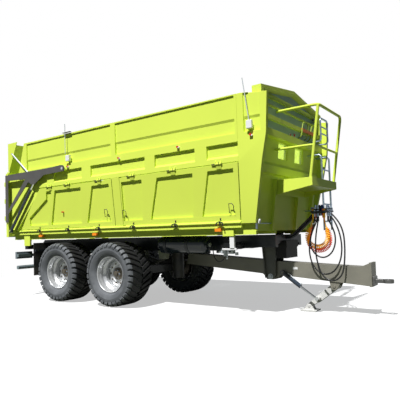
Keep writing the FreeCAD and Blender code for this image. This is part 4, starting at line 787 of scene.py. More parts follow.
def makeHoses():
    for name, (node, length, route) in hoseRoutes.items():
        hose = tube(name, route, cordValues["hoseRadius"], "hoseRubber", bodyOf[node])
        hose.data.splines[0].resolution_u = cordValues["hoseSteps"]
        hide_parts(node)
    for index, (name, (node, material, route)) in enumerate(curlRoutes.items()):
        phase = math.pi * index   # the second curl starts half a turn later
        points = curlPoints(readLine(route), cordValues, phase)
        curl = tube(name, points, cordValues["lineRadius"], material, bodyOf[node])
        curl.data.splines[0].resolution_u = 1
        curl.data.bevel_resolution = 1
        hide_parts(node)


makeHoses()
print("hoses and curly lines made")


# wheels: a turned carcass with blocks set round it, and a deep silver rim

wheelValues = {
    "radius": 0.540,
    "halfWidth": 0.275,
    "beadRadius": 0.296,
    "crownDrop": 0.006,
    "shoulderDrop": 0.034,
    "shoulderStart": 0.72,
    "blockHeight": 0.026,
    "blockSink": 0.012,
    "blockEdge": 0.004,
    "blockShares": (0.56, 0.5, 0.42),   # half width of a block at its foot, under its edge and on top
    "pitches": 32,
    "barWidth": 0.070,
    "barGrowth": (0.86, 0.16),
    "slant": 0.125,
    "slantBend": 1.15,
    "treadSpan": (0.012, 0.228),
    "shoulderSpan": (0.230, 0.262),
    "shoulderTurns": ((0.275, 0.495, 0.452), (0.282, 0.488, 0.456)),   # offset, and radii on top and below
    "rimRadius": 0.300,
    "rimHalfWidth": 0.222,
    "wellRadius": 0.255,
    "nuts": 10,
    "nut": (0.012, 0.1675, 0.014),   # reach, circle and size
    "capScrews": 6,
    "capScrew": (0.056, 0.064, 0.009),
    "nutForms": ((1.0, 0.85, 6), (1.5, 0.42, 8), (0.2, 1.15, 12)),   # nut, stud, washer: tall, wide, sides
    "nutSink": 0.004,
    "carcassSteps": 112,
    "rimSteps": 96,
    "discSteps": 72,
    "hubSteps": 48,
    "blockSteps": 5,
}
wheelPlaces = {
    "front_right": (-0.55, -1.0),
    "front_left": (-0.55, 1.0),
    "rear_right": (-1.89, -1.0),
    "rear_left": (-1.89, 1.0),
}


# outer radius of the tread at a distance from the tyre's middle
def treadRadius(offset, values):
    share = abs(offset) / values["halfWidth"]
    outer = max(0.0, share - values["shoulderStart"]) / (1 - values["shoulderStart"])
    return values["radius"] - values["crownDrop"] * share ** 2 - values["shoulderDrop"] * outer ** 2


# one block of the tread across part of the tyre's width; a shoulder block turns down the sidewall
def addTreadBlock(shape, side, turn, span, values):
    start, end = span
    edge = values["blockEdge"]
    foot, under, face = values["blockShares"]
    thin, growth = values["barGrowth"]
    rings = []
    steps = values["blockSteps"]
    for i in range(steps + 1):
        offset = start + (end - start) * i / steps
        top = treadRadius(offset, values)
        share = offset / values["halfWidth"]
        middle = turn - values["slant"] * (1 - share) ** values["slantBend"] / values["radius"]
        width = values["barWidth"] * (thin + growth * share) / values["radius"]
        low = top - values["blockHeight"] - values["blockSink"]
        outline = ((low, -foot), (top - edge, -under), (top, -face),
                   (top, face), (top - edge, under), (low, foot))
        rings.append([(radius, middle + across * width, offset) for radius, across in outline])
    if span == values["shoulderSpan"]:
        for offset, high, low in values["shoulderTurns"]:
            radii = (low, high - edge, high, high, high - edge, low)
            rings.append([(radius, point[1], offset) for point, radius in zip(rings[-1], radii)])
    rings = [[shape.verts.new((radius * math.cos(angle), side * offset, radius * math.sin(angle)))
              for radius, angle, offset in loop] for loop in rings]
    for first, second in zip(rings, rings[1:]):
        for k in range(len(first)):
            n = (k + 1) % len(first)
            shape.faces.new((first[k], first[n], second[n], second[k]))
    shape.faces.new(rings[0])
    shape.faces.new(rings[-1])


# a block on the left and one on the right, half a pitch apart
def makeTreadPart(name, span, material, values):
    shape = bmesh.new()
    addTreadBlock(shape, 1, 0.0, span, values)
    addTreadBlock(shape, -1, math.pi / values["pitches"], span, values)
    return sparePart(shape, name, material)


# the tyre under its blocks: bead, sidewall with its rings, and crown
def makeCarcass(name, centre, node, values):
    half = values["halfWidth"]
    base = values["radius"] - values["blockHeight"]
    profile = [
        (values["beadRadius"], -0.207), (0.303, -0.2075), (0.312, -0.222), (0.330, -0.2435), (0.345, -0.254),
        (0.349, -0.2570), (0.353, -0.2570), (0.357, -0.2605), (0.385, -0.2700), (0.402, -0.2735),
        (0.405, -0.2755), (0.409, -0.2755), (0.412, -0.2742), (0.432, -half), (0.452, -0.2700),
        (0.468, -0.258), (0.480, -0.238), (0.490, -0.210), (base - 0.008, -0.10), (base - 0.004, 0.0)]
    profile += [(radius, -offset) for radius, offset in reversed(profile[:-1])]
    shape = bmesh.new()
    addTurned(shape, profile, centre, values["carcassSteps"], closed=True)
    carcass = finishMesh(shape, name, "tyreRubber", bodyOf[node])
    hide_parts(node)


# rim with its well, dished disc, drum with its hub, and the nuts
def makeRim(name, centre, node, values):
    out = -1 if centre[1] < 0 else 1
    edge = values["rimHalfWidth"]
    radius = values["rimRadius"]
    well = values["wellRadius"]
    inner = [(radius, -edge), (0.2985, -edge - 0.003), (0.2925, -edge - 0.001), (0.2875, -edge + 0.004),
             (0.2850, -0.205), (0.2830, -0.165), (0.2755, -0.155), (0.2740, -0.135), (0.2780, -0.125),
             (0.2775, -0.100), (0.2620, -0.082), (well - 0.010, -0.066), (well - 0.010, 0.066),
             (0.2775, 0.100), (0.2830, 0.165), (0.2850, 0.205), (0.2875, edge - 0.004),
             (0.2925, edge + 0.001), (0.2985, edge + 0.003), (radius, edge)]
    outer = [(radius, edge - 0.011), (0.2917, edge - 0.013), (0.2905, 0.09), (well, 0.060), (well, -0.060),
             (0.2905, -0.09), (0.2917, -edge + 0.013), (radius, -edge + 0.011)]
    shape = bmesh.new()
    addTurned(shape, inner + outer, centre, values["rimSteps"], closed=True)
    disc = [(0.060, 0.020), (0.100, 0.022), (0.106, 0.006), (0.140, 0.004), (0.150, 0.012), (0.190, 0.015),
            (0.215, 0.004), (0.238, -0.004), (well - 0.006, -0.018), (well - 0.006, -0.030), (0.230, -0.022),
            (0.190, -0.003), (0.100, -0.008), (0.060, -0.008)]
    addTurned(shape, [(r, out * offset) for r, offset in disc], centre, values["discSteps"], closed=True)
    rim = finishMesh(shape, name, "rimPaint", bodyOf[node])
    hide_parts(node)
    hub = bmesh.new()
    nose = [(0.0, 0.098), (0.030, 0.098), (0.042, 0.092), (0.046, 0.062), (0.060, 0.060), (0.078, 0.052),
            (0.090, 0.030), (0.104, 0.024), (0.104, -0.030), (0.200, -0.032), (0.205, -0.040),
            (0.205, -0.176), (0.196, -0.180), (0.100, -0.180), (0.088, -0.090), (0.0, -0.090)]
    addTurned(hub, [(r, out * offset) for r, offset in nose], centre, values["hubSteps"])
    finishMesh(hub, name + "Hub", "hubPaint", bodyOf[node])
    ring(name + "Nuts", nutParts[out], values["nuts"], centre, "hubPaint", bodyOf[node])
    ring(name + "CapScrews", screwParts[out], values["capScrews"], centre, "zinc", bodyOf[node])


# a wheel nut on its stud, pointing out of the disc
def makeNutPart(out, sizes, name, values):
    reach, circle, size = sizes
    foot = (circle, out * (reach - values["nutSink"]), 0)
    shape = bmesh.new()
    for tall, wide, sides in values["nutForms"]:
        addRod(shape, foot, (circle, out * (reach + size * tall), 0), size * wide, sides)
    return sparePart(shape, name, "hubPaint")


nutParts = {}
screwParts = {}
for out, side in ((-1, "Right"), (1, "Left")):
    nutParts[out] = makeNutPart(out, wheelValues["nut"], "nut" + side, wheelValues)
    screwParts[out] = makeNutPart(out, wheelValues["capScrew"], "capScrew" + side, wheelValues)
# the tread blocks take the darker rubber, painted shade; the shoulder blocks take the sidewall's rubber
treadPart = makeTreadPart("treadPart", wheelValues["treadSpan"], "treadRubberPaintedShade", wheelValues)
shoulderPart = makeTreadPart("shoulderPart", wheelValues["shoulderSpan"], "tyreRubber", wheelValues)
for wheelName, (wheelX, wheelY) in wheelPlaces.items():
    side, hand = wheelName.split("_")
    label = side + hand.capitalize()
    body = bodyOf["tyre_" + wheelName]
    middle = (wheelX, wheelY, wheelValues["radius"])
    makeCarcass("tyre_" + label, middle, "tyre_" + wheelName, wheelValues)
    ring("tread_" + label, treadPart, wheelValues["pitches"], middle, "treadRubberPaintedShade", body)
    ring("shoulder_" + label, shoulderPart, wheelValues["pitches"], middle, "tyreRubber", body)
    makeRim("rim_" + label, middle, "rim_" + wheelName, wheelValues)
print("wheels made")


# small fittings, each one mesh of boxes and rods

def fitting(name, material, body, boxes=(), rods=(), bevel=0.002):
    shape = bmesh.new()
    for low, high in boxes:
        addBox(shape, low, high)
    for start, end, radius in rods:
        addRod(shape, start, end, radius)
    return finishMesh(shape, name, material, body, bevel)


wallValues = {
    "face": 1.225,
    "lean": 0.085,
    "leanTop": 2.138,
    "leanTall": 0.786,
    "frontFace": 2.065,
    "frontFoot": 1.200,
    "frontLean": 0.092,
}


# outer face of the side wall at a height
def sideFace(height):
    below = max(0.0, wallValues["leanTop"] - height)
    return wallValues["face"] - wallValues["lean"] * below / wallValues["leanTall"]


# outer face of the front wall at a height
def frontFace(height):
    return wallValues["frontFace"] + wallValues["frontLean"] * (height - wallValues["frontFoot"])


def mirrorBox(low, high, hand):
    ends = sorted((hand * low[1], hand * high[1]))
    return (low[0], ends[0], low[2]), (high[0], ends[1], high[2])


# a point of a fitting that stands at x and z, its second number measured outwards from a face
def beside(x, z, point, hand=1, face=0.0):
    return x + point[0], hand * (face + point[1]), z + point[2]


# side fittings: hinge pins, clamps, wire handles, reflectors and marker lamps

sideValues = {
    "hingePlaces": (-2.066, -1.552, -0.751, 0.002, 0.821, 1.613),
    "hingeHeight": 2.138,
    "hingeRods": (((-0.110, 1.237, 0.0), (0.060, 1.237, 0.0), 0.0088),   # the pin and its bent tail
                  ((0.012, 1.250, -0.012), (0.012, 1.248, 0.030), 0.0045)),
    "rearClamps": (-2.481, -1.642, -0.846),
    "frontClamps": (-0.052, 0.789, 1.567),
    "clampHeight": 1.352,
    "clampBase": ((-0.009, 1.150, -0.060), (0.009, 1.184, -0.006)),
    "clampRods": (((0.052, 1.184, -0.066), (0.046, 1.184, -0.022), 0.0085),
                  ((0.046, 1.184, -0.024), (0.0, 1.180, -0.012), 0.0075)),
    "keeperRise": 0.02,
    "keeper": ((-0.007, -0.006, 0.004), (0.007, 0.016, 0.040)),
    "rearHandles": ((-0.633, 1.573),),
    "frontHandles": ((-0.221, 1.535), (1.763, 1.521)),
    "handleSize": (0.036, 0.062),
    "handleCut": (0.3, 0.45),   # where the bent corner begins and ends, in half widths and half heights
    "handleFoot": -0.004,
    "handleReach": 0.022,
    "handleRadius": 0.0055,
    "reflectors": ((-1.538, 2.463), (-0.268, 2.459), (0.931, 2.473), (2.120, 2.471)),
    "reflectorRadius": 0.017,
    "reflectorBack": 1.222,
    "redFace": 1.256,
    "whiteFace": 1.253,
    "whiteShift": (1.1, -0.6),   # in radii of the red disc, and so are the sizes below
    "whiteSize": 0.7,
    "flapDiscSize": 0.8,
    "flapDisc": ((-1.784, 1.140, 1.648), (-1.784, 1.186, 1.648)),
    "lamps": ((-2.470, 1.218), (-0.965, 1.220), (1.520, 1.226)),
    "lampSize": (0.050, 0.026),
    "lensDepth": (1.112, 1.162),
    "lensTop": 0.72,
    "holderDepth": (1.085, 1.114),
    "holderEnd": 0.3,
}


def makeHinges(label, hand, values):
    z = values["hingeHeight"]
    rods = [(beside(x, z, start, hand), beside(x, z, end, hand), radius)
            for x in values["hingePlaces"] for start, end, radius in values["hingeRods"]]
    fitting("hingePins_" + label, "blackPlastic", "bed", rods=rods)


# over-centre clamps on the sill, each with a keeper on the flap above it
def makeClamps(label, hand, values):
    boxes = []
    rods = []
    high = values["clampHeight"]
    low, top = values["clampBase"]
    for x in values["rearClamps"] + values["frontClamps"]:
        boxes.append(mirrorBox(beside(x, high, low), beside(x, high, top), hand))
        for side in (-1, 1):
            for start, end, radius in values["clampRods"]:
                rods.append((beside(x, high, (side * start[0], *start[1:]), hand),
                             beside(x, high, (side * end[0], *end[1:]), hand), radius))
    fitting("clamps_" + label, "blackPlastic", "bed", boxes, rods)
    face = sideFace(high + values["keeperRise"])
    low, top = values["keeper"]
    for flap in ("rear", "front"):
        place = "%s_%s" % (flap, label)
        keepers = [mirrorBox(beside(x, high, low, face=face), beside(x, high, top, face=face), hand)
                   for x in values[flap + "Clamps"]]
        fitting("keepers_" + place, "blackPlastic", bodyOf["flap_" + place], keepers)


def makeHandles(label, hand, values):
    wide, tall = values["handleSize"]
    cutWide, cutTall = values["handleCut"]
    foot = values["handleFoot"]
    reach = values["handleReach"]
    corners = ((-wide, -tall, foot), (-wide, -tall, reach), (-wide, tall, reach),
               (cutWide * wide, tall, reach), (wide, cutTall * tall, reach),
               (wide, -tall, reach), (wide, -tall, foot))
    for flap in ("rear", "front"):
        place = "%s_%s" % (flap, label)
        for index, (x, z) in enumerate(values[flap + "Handles"]):
            points = [(x + along, hand * (sideFace(z + rise) + out), z + rise)
                      for along, rise, out in corners]
            tube("handle_%s_%d" % (place, index), points, values["handleRadius"], "blackPlastic",
                 bodyOf["flap_" + place], smooth=False)


# a red disc with a smaller white one beside it
def makeReflectors(label, hand, values):
    radius = values["reflectorRadius"]
    back = hand * values["reflectorBack"]
    along, rise = values["whiteShift"]
    red = []
    white = []
    for x, z in values["reflectors"]:
        red.append(((x, back, z), (x, hand * values["redFace"], z), radius))
        whiteX = x + along * radius
        whiteZ = z + rise * radius
        white.append(((whiteX, back, whiteZ), (whiteX, hand * values["whiteFace"], whiteZ),
                      values["whiteSize"] * radius))
    fitting("redDiscs_" + label, "redLens", "bed", rods=red)
    fitting("whiteDiscs_" + label, "whitePlastic", "bed", rods=white)
    start, end = values["flapDisc"]
    fitting("flapDisc_" + label, "redLens", bodyOf["flap_rear_" + label],
            rods=[(beside(0, 0, start, hand), beside(0, 0, end, hand), values["flapDiscSize"] * radius)])


def makeLamps(values):
    lenses = []
    holders = []
    wide, tall = values["lampSize"]
    lensIn, lensOut = values["lensDepth"]
    holderIn, holderOut = values["holderDepth"]
    for hand in (-1, 1):
        for x, z in values["lamps"]:
            lensTop = z + values["lensTop"] * tall
            holderEnd = x + values["holderEnd"] * wide
            lenses.append(mirrorBox((x - wide, lensIn, z - tall), (x + wide, lensOut, lensTop), hand))
            holders.append(mirrorBox((x - wide, holderIn, z - tall), (holderEnd, holderOut, z + tall), hand))
    lamps = fitting("markerLenses", "amberLens", "bed", lenses, bevel=0.006)
    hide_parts("side_markers")
    fitting("markerHolders", "blackPlastic", "bed", holders)


for label, hand in (("right", -1), ("left", 1)):
    makeHinges(label, hand, sideValues)
    makeClamps(label, hand, sideValues)
    makeHandles(label, hand, sideValues)
    makeReflectors(label, hand, sideValues)
makeLamps(sideValues)
print("side fittings made")


# fastenings of the load cover on the right side: thin staffs, white holders and a hook

coverValues = {
    "staffs": (((-1.568, -1.262, 3.248), (-1.566, -1.262, 2.700), 0.0062),
               ((2.037, -1.262, 3.247), (2.109, -1.250, 2.660), 0.0062)),
    "holders": (((-1.554, -1.275, 2.554), (-1.461, -1.222, 2.664)),
                ((2.072, -1.275, 2.551), (2.155, -1.222, 2.664))),
    "hook": ((-1.640, -1.268, 3.084), (-1.430, -1.225, 3.093)),
}


def makeCoverFittings(values):
    fitting("coverStaffs", "paleSteel", "bed", rods=values["staffs"])
    fitting("coverHolders", "whitePlastic", "bed", values["holders"], bevel=0.008)
    fitting("coverHook", "blackPlastic", "bed", [values["hook"]])


makeCoverFittings(coverValues)
print("cover fittings made")


# tailgate: bright stays from the wings down to the arms

gateValues = {
    "stayTop": (-3.223, 2.910),
    "stayFoot": (-2.683, 2.465),
    "stayFace": 1.258,
    "stayRadius": 0.0165,
}


def makeGateFittings(values):
    top, foot = values["stayTop"], values["stayFoot"]
    for label, hand in (("right", -1), ("left", 1)):
        y = hand * values["stayFace"]
        fitting("gateStay_" + label, "paleSteel", "gate",
                rods=[((top[0], y, top[1]), (foot[0], y, foot[1]), values["stayRadius"])])


makeGateFittings(gateValues)
print("tailgate fittings made")


# front wall: window panes, gable louvres, hand grips, reflectors, bar and small lamp

frontValues = {
    "paneSpots": (-0.310, 0.310),
    "paneSize": (0.350, 0.250),
    "paneHeight": 2.350,
    "paneDepths": (0.030, 0.024),
    "slat": ((-0.006, -0.012, -0.030), (0.006, 0.012, 0.026)),
    "louvreCount": 54,
    "louvreStart": (2.249, -1.050, 3.051),
    "louvreStep": 0.0392,
    "louvreShade": ((-0.012, -0.02, -0.008), (0.001, 0.0, 0.026)),   # dark sheet behind the slats: painted shade in their gaps
    "gripSpots": ((0.215, 0.450), (0.590, 0.800)),
    "gripBack": 2.205,
    "gripFace": 2.264,
    "gripLow": 2.625,
    "gripHigh": 2.885,
    "gripLean": 0.080,
    "gripLeanLow": 0.8,
    "gripCorner": (0.03, 0.04),
    "gripSlope": 0.01,
    "gripFootStep": 0.002,
    "gripRadius": 0.010,
    "rungRise": 0.06,
    "rungShift": 0.015,
    "rungRadius": 0.008,
    "bar": ((2.244, 0.250, 2.730), (2.272, 0.820, 2.780)),
    "panelFace": 2.205,
    "redDiscs": ((-0.944, 2.727), (-0.113, 2.622), (0.046, 2.647)),
    "redDisc": (0.017, 0.022),   # depth and radius
    "whiteDiscs": ((-0.968, 2.739), (-0.137, 2.634)),
    "whiteDisc": (0.015, 0.014),
    "clips": (((2.240, 0.791, 2.990), (2.280, 0.841, 3.030)), ((2.240, 0.887, 2.970), (2.280, 0.937, 3.010))),
    "lampBox": ((2.060, -1.085, 1.300), (2.120, -1.030, 1.362)),
    "lampLens": ((2.095, -1.060, 1.335), (2.130, -1.060, 1.335), 0.022),
    "lampStem": ((2.066, -1.082, 1.225), (2.084, -1.048, 1.300)),
    "lampArm": ((2.086, -1.030, 1.300), (2.086, -0.635, 1.300), 0.007),
}


def makePanes(values):
    shape = bmesh.new()
    wide, tall = values["paneSize"]
    low = values["paneHeight"] - tall / 2
    high = values["paneHeight"] + tall / 2
    deep, shallow = values["paneDepths"]
    for y in values["paneSpots"]:
        outline = [(frontFace(z) - depth, y - wide / 2, z)
                   for z, depth in ((low, deep), (low, shallow), (high, shallow), (high, deep))]
        addPrism(shape, outline, (0, wide, 0))
    finishMesh(shape, "windowPanes", "windowPane", "bed")


def makeLouvres(values):
    x, y, z = values["louvreStart"]
    slat = bmesh.new()
    addBox(slat, *values["slat"])
    # the slats wear the body green with painted shade
    part = sparePart(slat, "slatPart", "bodyPaintedShade")
    row("gableLouvres", part, values["louvreCount"], values["louvreStart"], (0, values["louvreStep"], 0),
        "bodyPaintedShade", "bed")
    wide = values["louvreCount"] * values["louvreStep"]
    low, high = values["louvreShade"]
    # a black sheet behind the slats is painted shade between them
    fitting("louvreShade", "blackPlastic", "bed", [
        ((x + low[0], y + low[1], z + low[2]), (x + high[0], y + wide, z + high[2]))])


def makeGrips(values):
    low = values["gripLow"]
    high = values["gripHigh"]
    lean = values["gripLean"]
    back = values["gripBack"]
    face = values["gripFace"]
    foot = face - values["gripFootStep"]
    leanLow = values["gripLeanLow"] * lean
    across, below = values["gripCorner"]
    # the grips and their bars wear the body green with painted shade
    for index, (near, far) in enumerate(values["gripSpots"]):
        points = [(back, near, low), (foot, near, low), (face, near + leanLow, high - below),
                  (face, near + lean + across, high), (face, far + lean - across, high + values["gripSlope"]),
                  (face, far + leanLow, high - below), (foot, far, low), (back, far, low)]
        tube("handGrip_%d" % index, points, values["gripRadius"], "bodyPaintedShade", "bed")
    rung = low + values["rungRise"]
    shift = values["rungShift"]
    fitting("gripBars", "bodyPaintedShade", "bed", rods=[
        ((foot, near + shift, rung), (foot, far + shift, rung), values["rungRadius"])
        for near, far in values["gripSpots"]])


def makeGable(values):
    makeLouvres(values)
    makeGrips(values)
    fitting("gableBar", "warmRed", "bed", [values["bar"]], bevel=0.001)
    face = values["panelFace"]
    deep, radius = values["redDisc"]
    fitting("gableDiscs", "redLens", "bed", rods=[
        ((face, y, z), (face + deep, y, z), radius) for y, z in values["redDiscs"]])
    deep, radius = values["whiteDisc"]
    fitting("gableWhiteDiscs", "whitePlastic", "bed", rods=[
        ((face, y, z), (face + deep, y, z), radius) for y, z in values["whiteDiscs"]])
    fitting("gableClips", "blackPlastic", "bed", values["clips"])


def makeFrontLamp(values):
    fitting("frontLamp", "whitePlastic", "bed", [values["lampBox"]], rods=[values["lampLens"]], bevel=0.006)
    fitting("frontLampStem", "zinc", "bed", [values["lampStem"]], rods=[values["lampArm"]])


makePanes(frontValues)
makeGable(frontValues)
makeFrontLamp(frontValues)
print("front wall fittings made")


# couplings of the hoses on the plate of their arm: sleeves and collars, coloured heads, plugs and rails

couplingValues = {
    "plateTop": 1.462,
    "plateLow": 1.440,
    "hoses": ((2.545, -0.062), (2.700, -0.062), (2.520, -0.092), (2.712, -0.088), (2.570, -0.092),
              (2.745, -0.092)),
    "lean": 0.012,
    "lowSleeve": (0.060, 0.0, 0.0145),   # two depths and a radius
    "lowCollar": (0.130, 0.058, 0.0135),
    "topSleeves": ((0.0, 0.052, 0.0, 1.0, 0.017),   # two heights, two shares of the lean and a radius
                   (0.050, 0.088, 1.0, 1.6, 0.012)),
    "topCollar": (0.012, 0.030, 0.6, 0.8, 0.021),
    "red": ((2.500, 0.015), (2.610, 0.015)),
    "yellow": ((2.482, -0.038), (2.640, -0.038)),
    "headDepth": (0.075, 0.016),
    "headHeight": (0.030, 0.015),
    "plugs": ((2.580, 0.060, "blueCap"), (2.535, 0.070, "blackPlastic"), (2.660, 0.062, "blueCap")),
    "plugRods": ((0.0, 0.075, 0.026), (0.070, 0.095, 0.018)),
    "plugTail": (0.045, 0.019),
    "rails": (((2.470, -0.100, 0.0), (2.476, 0.095, 0.060)), ((2.470, 0.088, 0.0), (2.725, 0.094, 0.045))),
}


def makeHoseCouplings(values):
    top = values["plateTop"]
    low = values["plateLow"]
    sleeves = []
    collars = []
    for index, (x, y) in enumerate(values["hoses"]):
        lean = values["lean"] * (index % 3 - 1)   # every third one stands straight
        deep, shallow, radius = values["lowSleeve"]
        sleeves.append(((x, y, low - deep), (x, y, low - shallow), radius))
        for start, end, leanStart, leanEnd, radius in values["topSleeves"]:
            sleeves.append(((x + lean * leanStart, y, top + start),
                            (x + lean * leanEnd, y, top + end), radius))
        deep, shallow, radius = values["lowCollar"]
        collars.append(((x, y, low - deep), (x, y, low - shallow), radius))
        start, end, leanStart, leanEnd, radius = values["topCollar"]
        collars.append(((x + lean * leanStart, y, top + start), (x + lean * leanEnd, y, top + end), radius))
    fitting("hoseCouplings", "zinc", "chassis", rods=sleeves)
    fitting("hoseCollars", "blackPlastic", "chassis", rods=collars)


def makeCouplings(values):
    makeHoseCouplings(values)
    top = values["plateTop"]
    low = values["plateLow"]
    for name in ("red", "yellow"):
        deep, lowRadius = values["headDepth"]
        rise, topRadius = values["headHeight"]
        heads = []
        for x, y in values[name]:
            heads.append(((x, y, low - deep), (x, y, low), lowRadius))
            heads.append(((x, y, top), (x, y, top + rise), topRadius))
        fitting(name + "Heads", name + "Line", "chassis", rods=heads)
    for index, (x, y, material) in enumerate(values["plugs"]):
        deep, lowRadius = values["plugTail"]
        rods = [((x, y, top + start), (x, y, top + end), radius) for start, end, radius in values["plugRods"]]
        rods.append(((x, y, low - deep), (x, y, low), lowRadius))
        fitting("plug_%d" % index, material, "chassis", rods=rods)
    rails = [(beside(0, top, start), beside(0, top, end)) for start, end in values["rails"]]
    fitting("couplingRail", "zinc", "chassis", rails)


makeCouplings(couplingValues)
print("hose couplings made")


# chassis fittings: rests and posts under the sills, tank pipe and tap, valves, drawbar plate and bolts

chassisValues = {
    "restPost": ((1.570, 1.055, 1.135), (1.744, 1.112, 1.252)),
    "restStem": ((1.669, 1.060, 0.965), (1.739, 1.100, 1.136)),
    "restFoot": ((1.540, 1.065, 0.940), (1.769, 1.090, 0.966)),
    "rearPost": ((-3.050, 1.075, 1.025), (-2.865, 1.115, 1.252)),
    "tankPipe": ((1.118, -0.750, 1.010), (1.175, -0.752, 1.004), (1.188, -0.757, 0.930),
                 (1.200, -0.760, 0.830), (1.262, -0.760, 0.748), (1.345, -0.765, 0.762),
                 (1.405, -0.790, 0.815), (1.450, -0.820, 0.880)),
    "tankPipeRadius": 0.0075,
    "tapBox": ((1.112, -0.772, 0.990), (1.150, -0.728, 1.022)),
    "tapRod": ((1.130, -0.750, 0.975), (1.130, -0.750, 1.036), 0.016),
    "valveBoxes": (((1.420, -0.925, 0.885), (1.500, -0.850, 0.945)),
                   ((1.520, -0.930, 0.880), (1.620, -0.850, 0.935)),
                   ((1.455, -0.910, 0.845), (1.490, -0.865, 0.890)),
                   ((1.640, -0.900, 0.860), (1.675, -0.860, 0.900))),
    "valveRods": (((1.340, -0.880, 0.905), (1.420, -0.880, 0.912), 0.016),
                  ((1.505, -0.890, 0.80), (1.505, -0.890, 0.89), 0.012),
                  ((1.500, -0.890, 0.912), (1.525, -0.890, 0.910), 0.014)),
    "coreBoxes": (((1.330, -0.900, 0.890), (1.365, -0.860, 0.925)),
                  ((1.560, -0.945, 0.900), (1.590, -0.925, 0.925)),
                  ((1.380, -0.850, 0.945), (1.700, -0.780, 1.010))),
    "plate": ((2.165, -0.1135, 0.610), (2.240, -0.109, 0.644)),
    "legPipe": (((2.095, -0.150, 0.560), (2.296, -0.150, 0.410), 0.006),
                ((2.286, -0.148, 0.400), (2.300, -0.148, 0.418), 0.011)),
    "eyeBoltEnds": (3.255, 3.284),
    "eyeBoltSpots": ((-0.062, 0.425), (-0.062, 0.530), (0.062, 0.425), (0.062, 0.530)),
    "eyeBoltRadius": 0.015,
    "cheekBolt": (1.826, 0.498),
    "cheekRods": ((0.150, 0.160, 0.044), (0.150, 0.178, 0.026)),
}


def makeSillRests(values):
    for label, hand in (("right", -1), ("left", 1)):
        fitting("restPost_" + label, "bodyPaint", "bed", [mirrorBox(*values["restPost"], hand)])
        fitting("restStem_" + label, "whitePlastic", "bed", [
            mirrorBox(*values["restStem"], hand), mirrorBox(*values["restFoot"], hand)], bevel=0.004)


def makeAirFittings(values):
    tube("tankPipe", values["tankPipe"], values["tankPipeRadius"], "blackPlastic", "chassis")
    fitting("tankTap", "whitePlastic", "chassis", [values["tapBox"]], [values["tapRod"]], bevel=0.004)
    fitting("valveBlock", "paleSteel", "chassis", values["valveBoxes"], values["valveRods"], bevel=0.004)
    fitting("valveCore", "blackPlastic", "chassis", values["coreBoxes"], bevel=0.004)


def makeDrawbarFittings(values):
    fitting("drawbarPlate", "whitePlastic", "chassis", [values["plate"]], bevel=0.0005)
    fitting("legPipe", "paleSteel", bodyOf["leg_barrel"], rods=values["legPipe"])
    start, end = values["eyeBoltEnds"]
    fitting("eyeBolts", "eyeSteel", "chassis", rods=[
        ((start, y, z), (end, y, z), values["eyeBoltRadius"]) for y, z in values["eyeBoltSpots"]])


def makeRearPosts(values):
    fitting("rearPosts", "bodyPaint", "bed", [mirrorBox(*values["rearPost"], hand) for hand in (-1, 1)])


def makeCheekBolts(values):
    x, z = values["cheekBolt"]
    fitting("cheekBolts", "paleSteel", "chassis", rods=[
        ((x, hand * near, z), (x, hand * far, z), radius) for hand in (-1, 1)
        for near, far, radius in values["cheekRods"]])


makeSillRests(chassisValues)
makeAirFittings(chassisValues)
makeDrawbarFittings(chassisValues)
makeRearPosts(chassisValues)
makeCheekBolts(chassisValues)
print("chassis fittings made")


# light, floor and sky

lightValues = {
    "sunStrength": 5.7,
    "sunFrom": (0.105, -1.0, 1.52),
    "sunAngle": 1.2,
    "sky": 0.09,
    "skyColour": (0.62, 0.82, 1.0),
    "mirrored": 0.16,
    "floorMirrored": 0.35,
    "floorHalf": 40,
    "floorDrop": -0.001,
    "floorTone": (0.88, 0.88, 0.88),
    "floorRoughness": 0.9,
    "floorSpecular": 0.1,
    "floorGlow": 0.5,
    "glowReach": (4.5, 8.0),
    "groundTone": (0.065, 0.075, 0.045),
}


def addSun(name, strength, fromWhere, angle):
    lamp = bpy.data.lights.new(name, "SUN")
    lamp.energy = strength
    lamp.angle = math.radians(angle)
    lampObject = bpy.data.objects.new(name, lamp)
    bpy.context.collection.objects.link(lampObject)
    lampObject.rotation_euler = Vector(fromWhere).to_track_quat("Z", "Y").to_euler()


# one value for what the camera sees, straight or through a pane, and one for what is mirrored
def seenNodes(tree):
    light = tree.nodes.new("ShaderNodeLightPath")
    straight = mathNode(tree, "MAXIMUM", light.outputs["Is Camera Ray"], light.outputs["Is Transmission Ray"])
    return straight.outputs[0], light.outputs["Is Glossy Ray"]


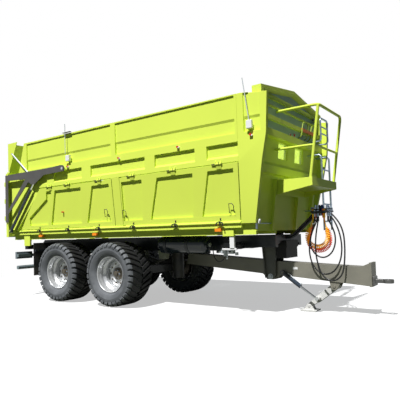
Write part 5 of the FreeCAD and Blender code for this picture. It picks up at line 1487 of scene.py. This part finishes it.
def lightScene(values):
    addSun("keySun", values["sunStrength"], values["sunFrom"], values["sunAngle"])
    world = bpy.data.worlds.new("softSky")
    bpy.context.scene.world = world
    world.use_nodes = True
    tree = world.node_tree
    tree.nodes.clear()
    output = tree.nodes.new("ShaderNodeOutputWorld")
    sky = tree.nodes.new("ShaderNodeBackground")
    sky.inputs["Color"].default_value = (*values["skyColour"], 1)
    sky.inputs["Strength"].default_value = values["sky"]
    white = tree.nodes.new("ShaderNodeBackground")
    white.inputs["Color"].default_value = (1, 1, 1, 1)
    white.inputs["Strength"].default_value = 1.0
    straight, mirrored = seenNodes(tree)
    seen = mathNode(tree, "MULTIPLY_ADD", mirrored, values["mirrored"])
    tree.links.new(straight, seen.inputs[2])
    mix = tree.nodes.new("ShaderNodeMixShader")
    tree.links.new(seen.outputs[0], mix.inputs[0])
    tree.links.new(sky.outputs[0], mix.inputs[1])
    tree.links.new(white.outputs[0], mix.inputs[2])
    tree.links.new(mix.outputs[0], output.inputs[0])


# pale where it is looked at, and dark ground for the light that it throws back
def makeFloor(values):
    shape = bmesh.new()
    bmesh.ops.create_grid(shape, x_segments=1, y_segments=1, size=values["floorHalf"])
    mesh = bpy.data.meshes.new("floor")
    shape.to_mesh(mesh)
    shape.free()
    floor = bpy.data.objects.new("floor", mesh)
    bpy.context.collection.objects.link(floor)
    floor.location.z = values["floorDrop"]
    material, tree, shader, vector = newMaterial("paleFloor")
    straight, mirrored = seenNodes(tree)
    part = mathNode(tree, "MULTIPLY", mirrored, values["floorMirrored"])
    looked = mathNode(tree, "MAXIMUM", straight, part.outputs[0])
    tone = mixColour(tree, looked.outputs[0], (*values["groundTone"], 1), (*values["floorTone"], 1))
    tree.links.new(tone, shader.inputs["Base Color"])
    shader.inputs["Roughness"].default_value = values["floorRoughness"]
    shader.inputs["Specular IOR Level"].default_value = values["floorSpecular"]
    reach = tree.nodes.new("ShaderNodeVectorMath")
    reach.operation = "LENGTH"
    tree.links.new(vector, reach.inputs[0])
    away = rangeNode(tree, reach.outputs["Value"], *values["glowReach"], values["floorGlow"], 1.0)
    seen = mathNode(tree, "MULTIPLY", away.outputs["Result"], straight)
    glow = tree.nodes.new("ShaderNodeEmission")
    mix = tree.nodes.new("ShaderNodeMixShader")
    output = next(n for n in tree.nodes if n.type == "OUTPUT_MATERIAL")
    tree.links.new(seen.outputs[0], mix.inputs[0])
    tree.links.new(shader.outputs[0], mix.inputs[1])
    tree.links.new(glow.outputs[0], mix.inputs[2])
    tree.links.new(mix.outputs[0], output.inputs[0])
    mesh.materials.append(material)


lightScene(lightValues)
makeFloor(lightValues)
bpy.context.scene.view_settings.view_transform = "Standard"
print("light and floor made")

for part in spareParts:
    bpy.data.objects.remove(part)
print("spare parts removed")
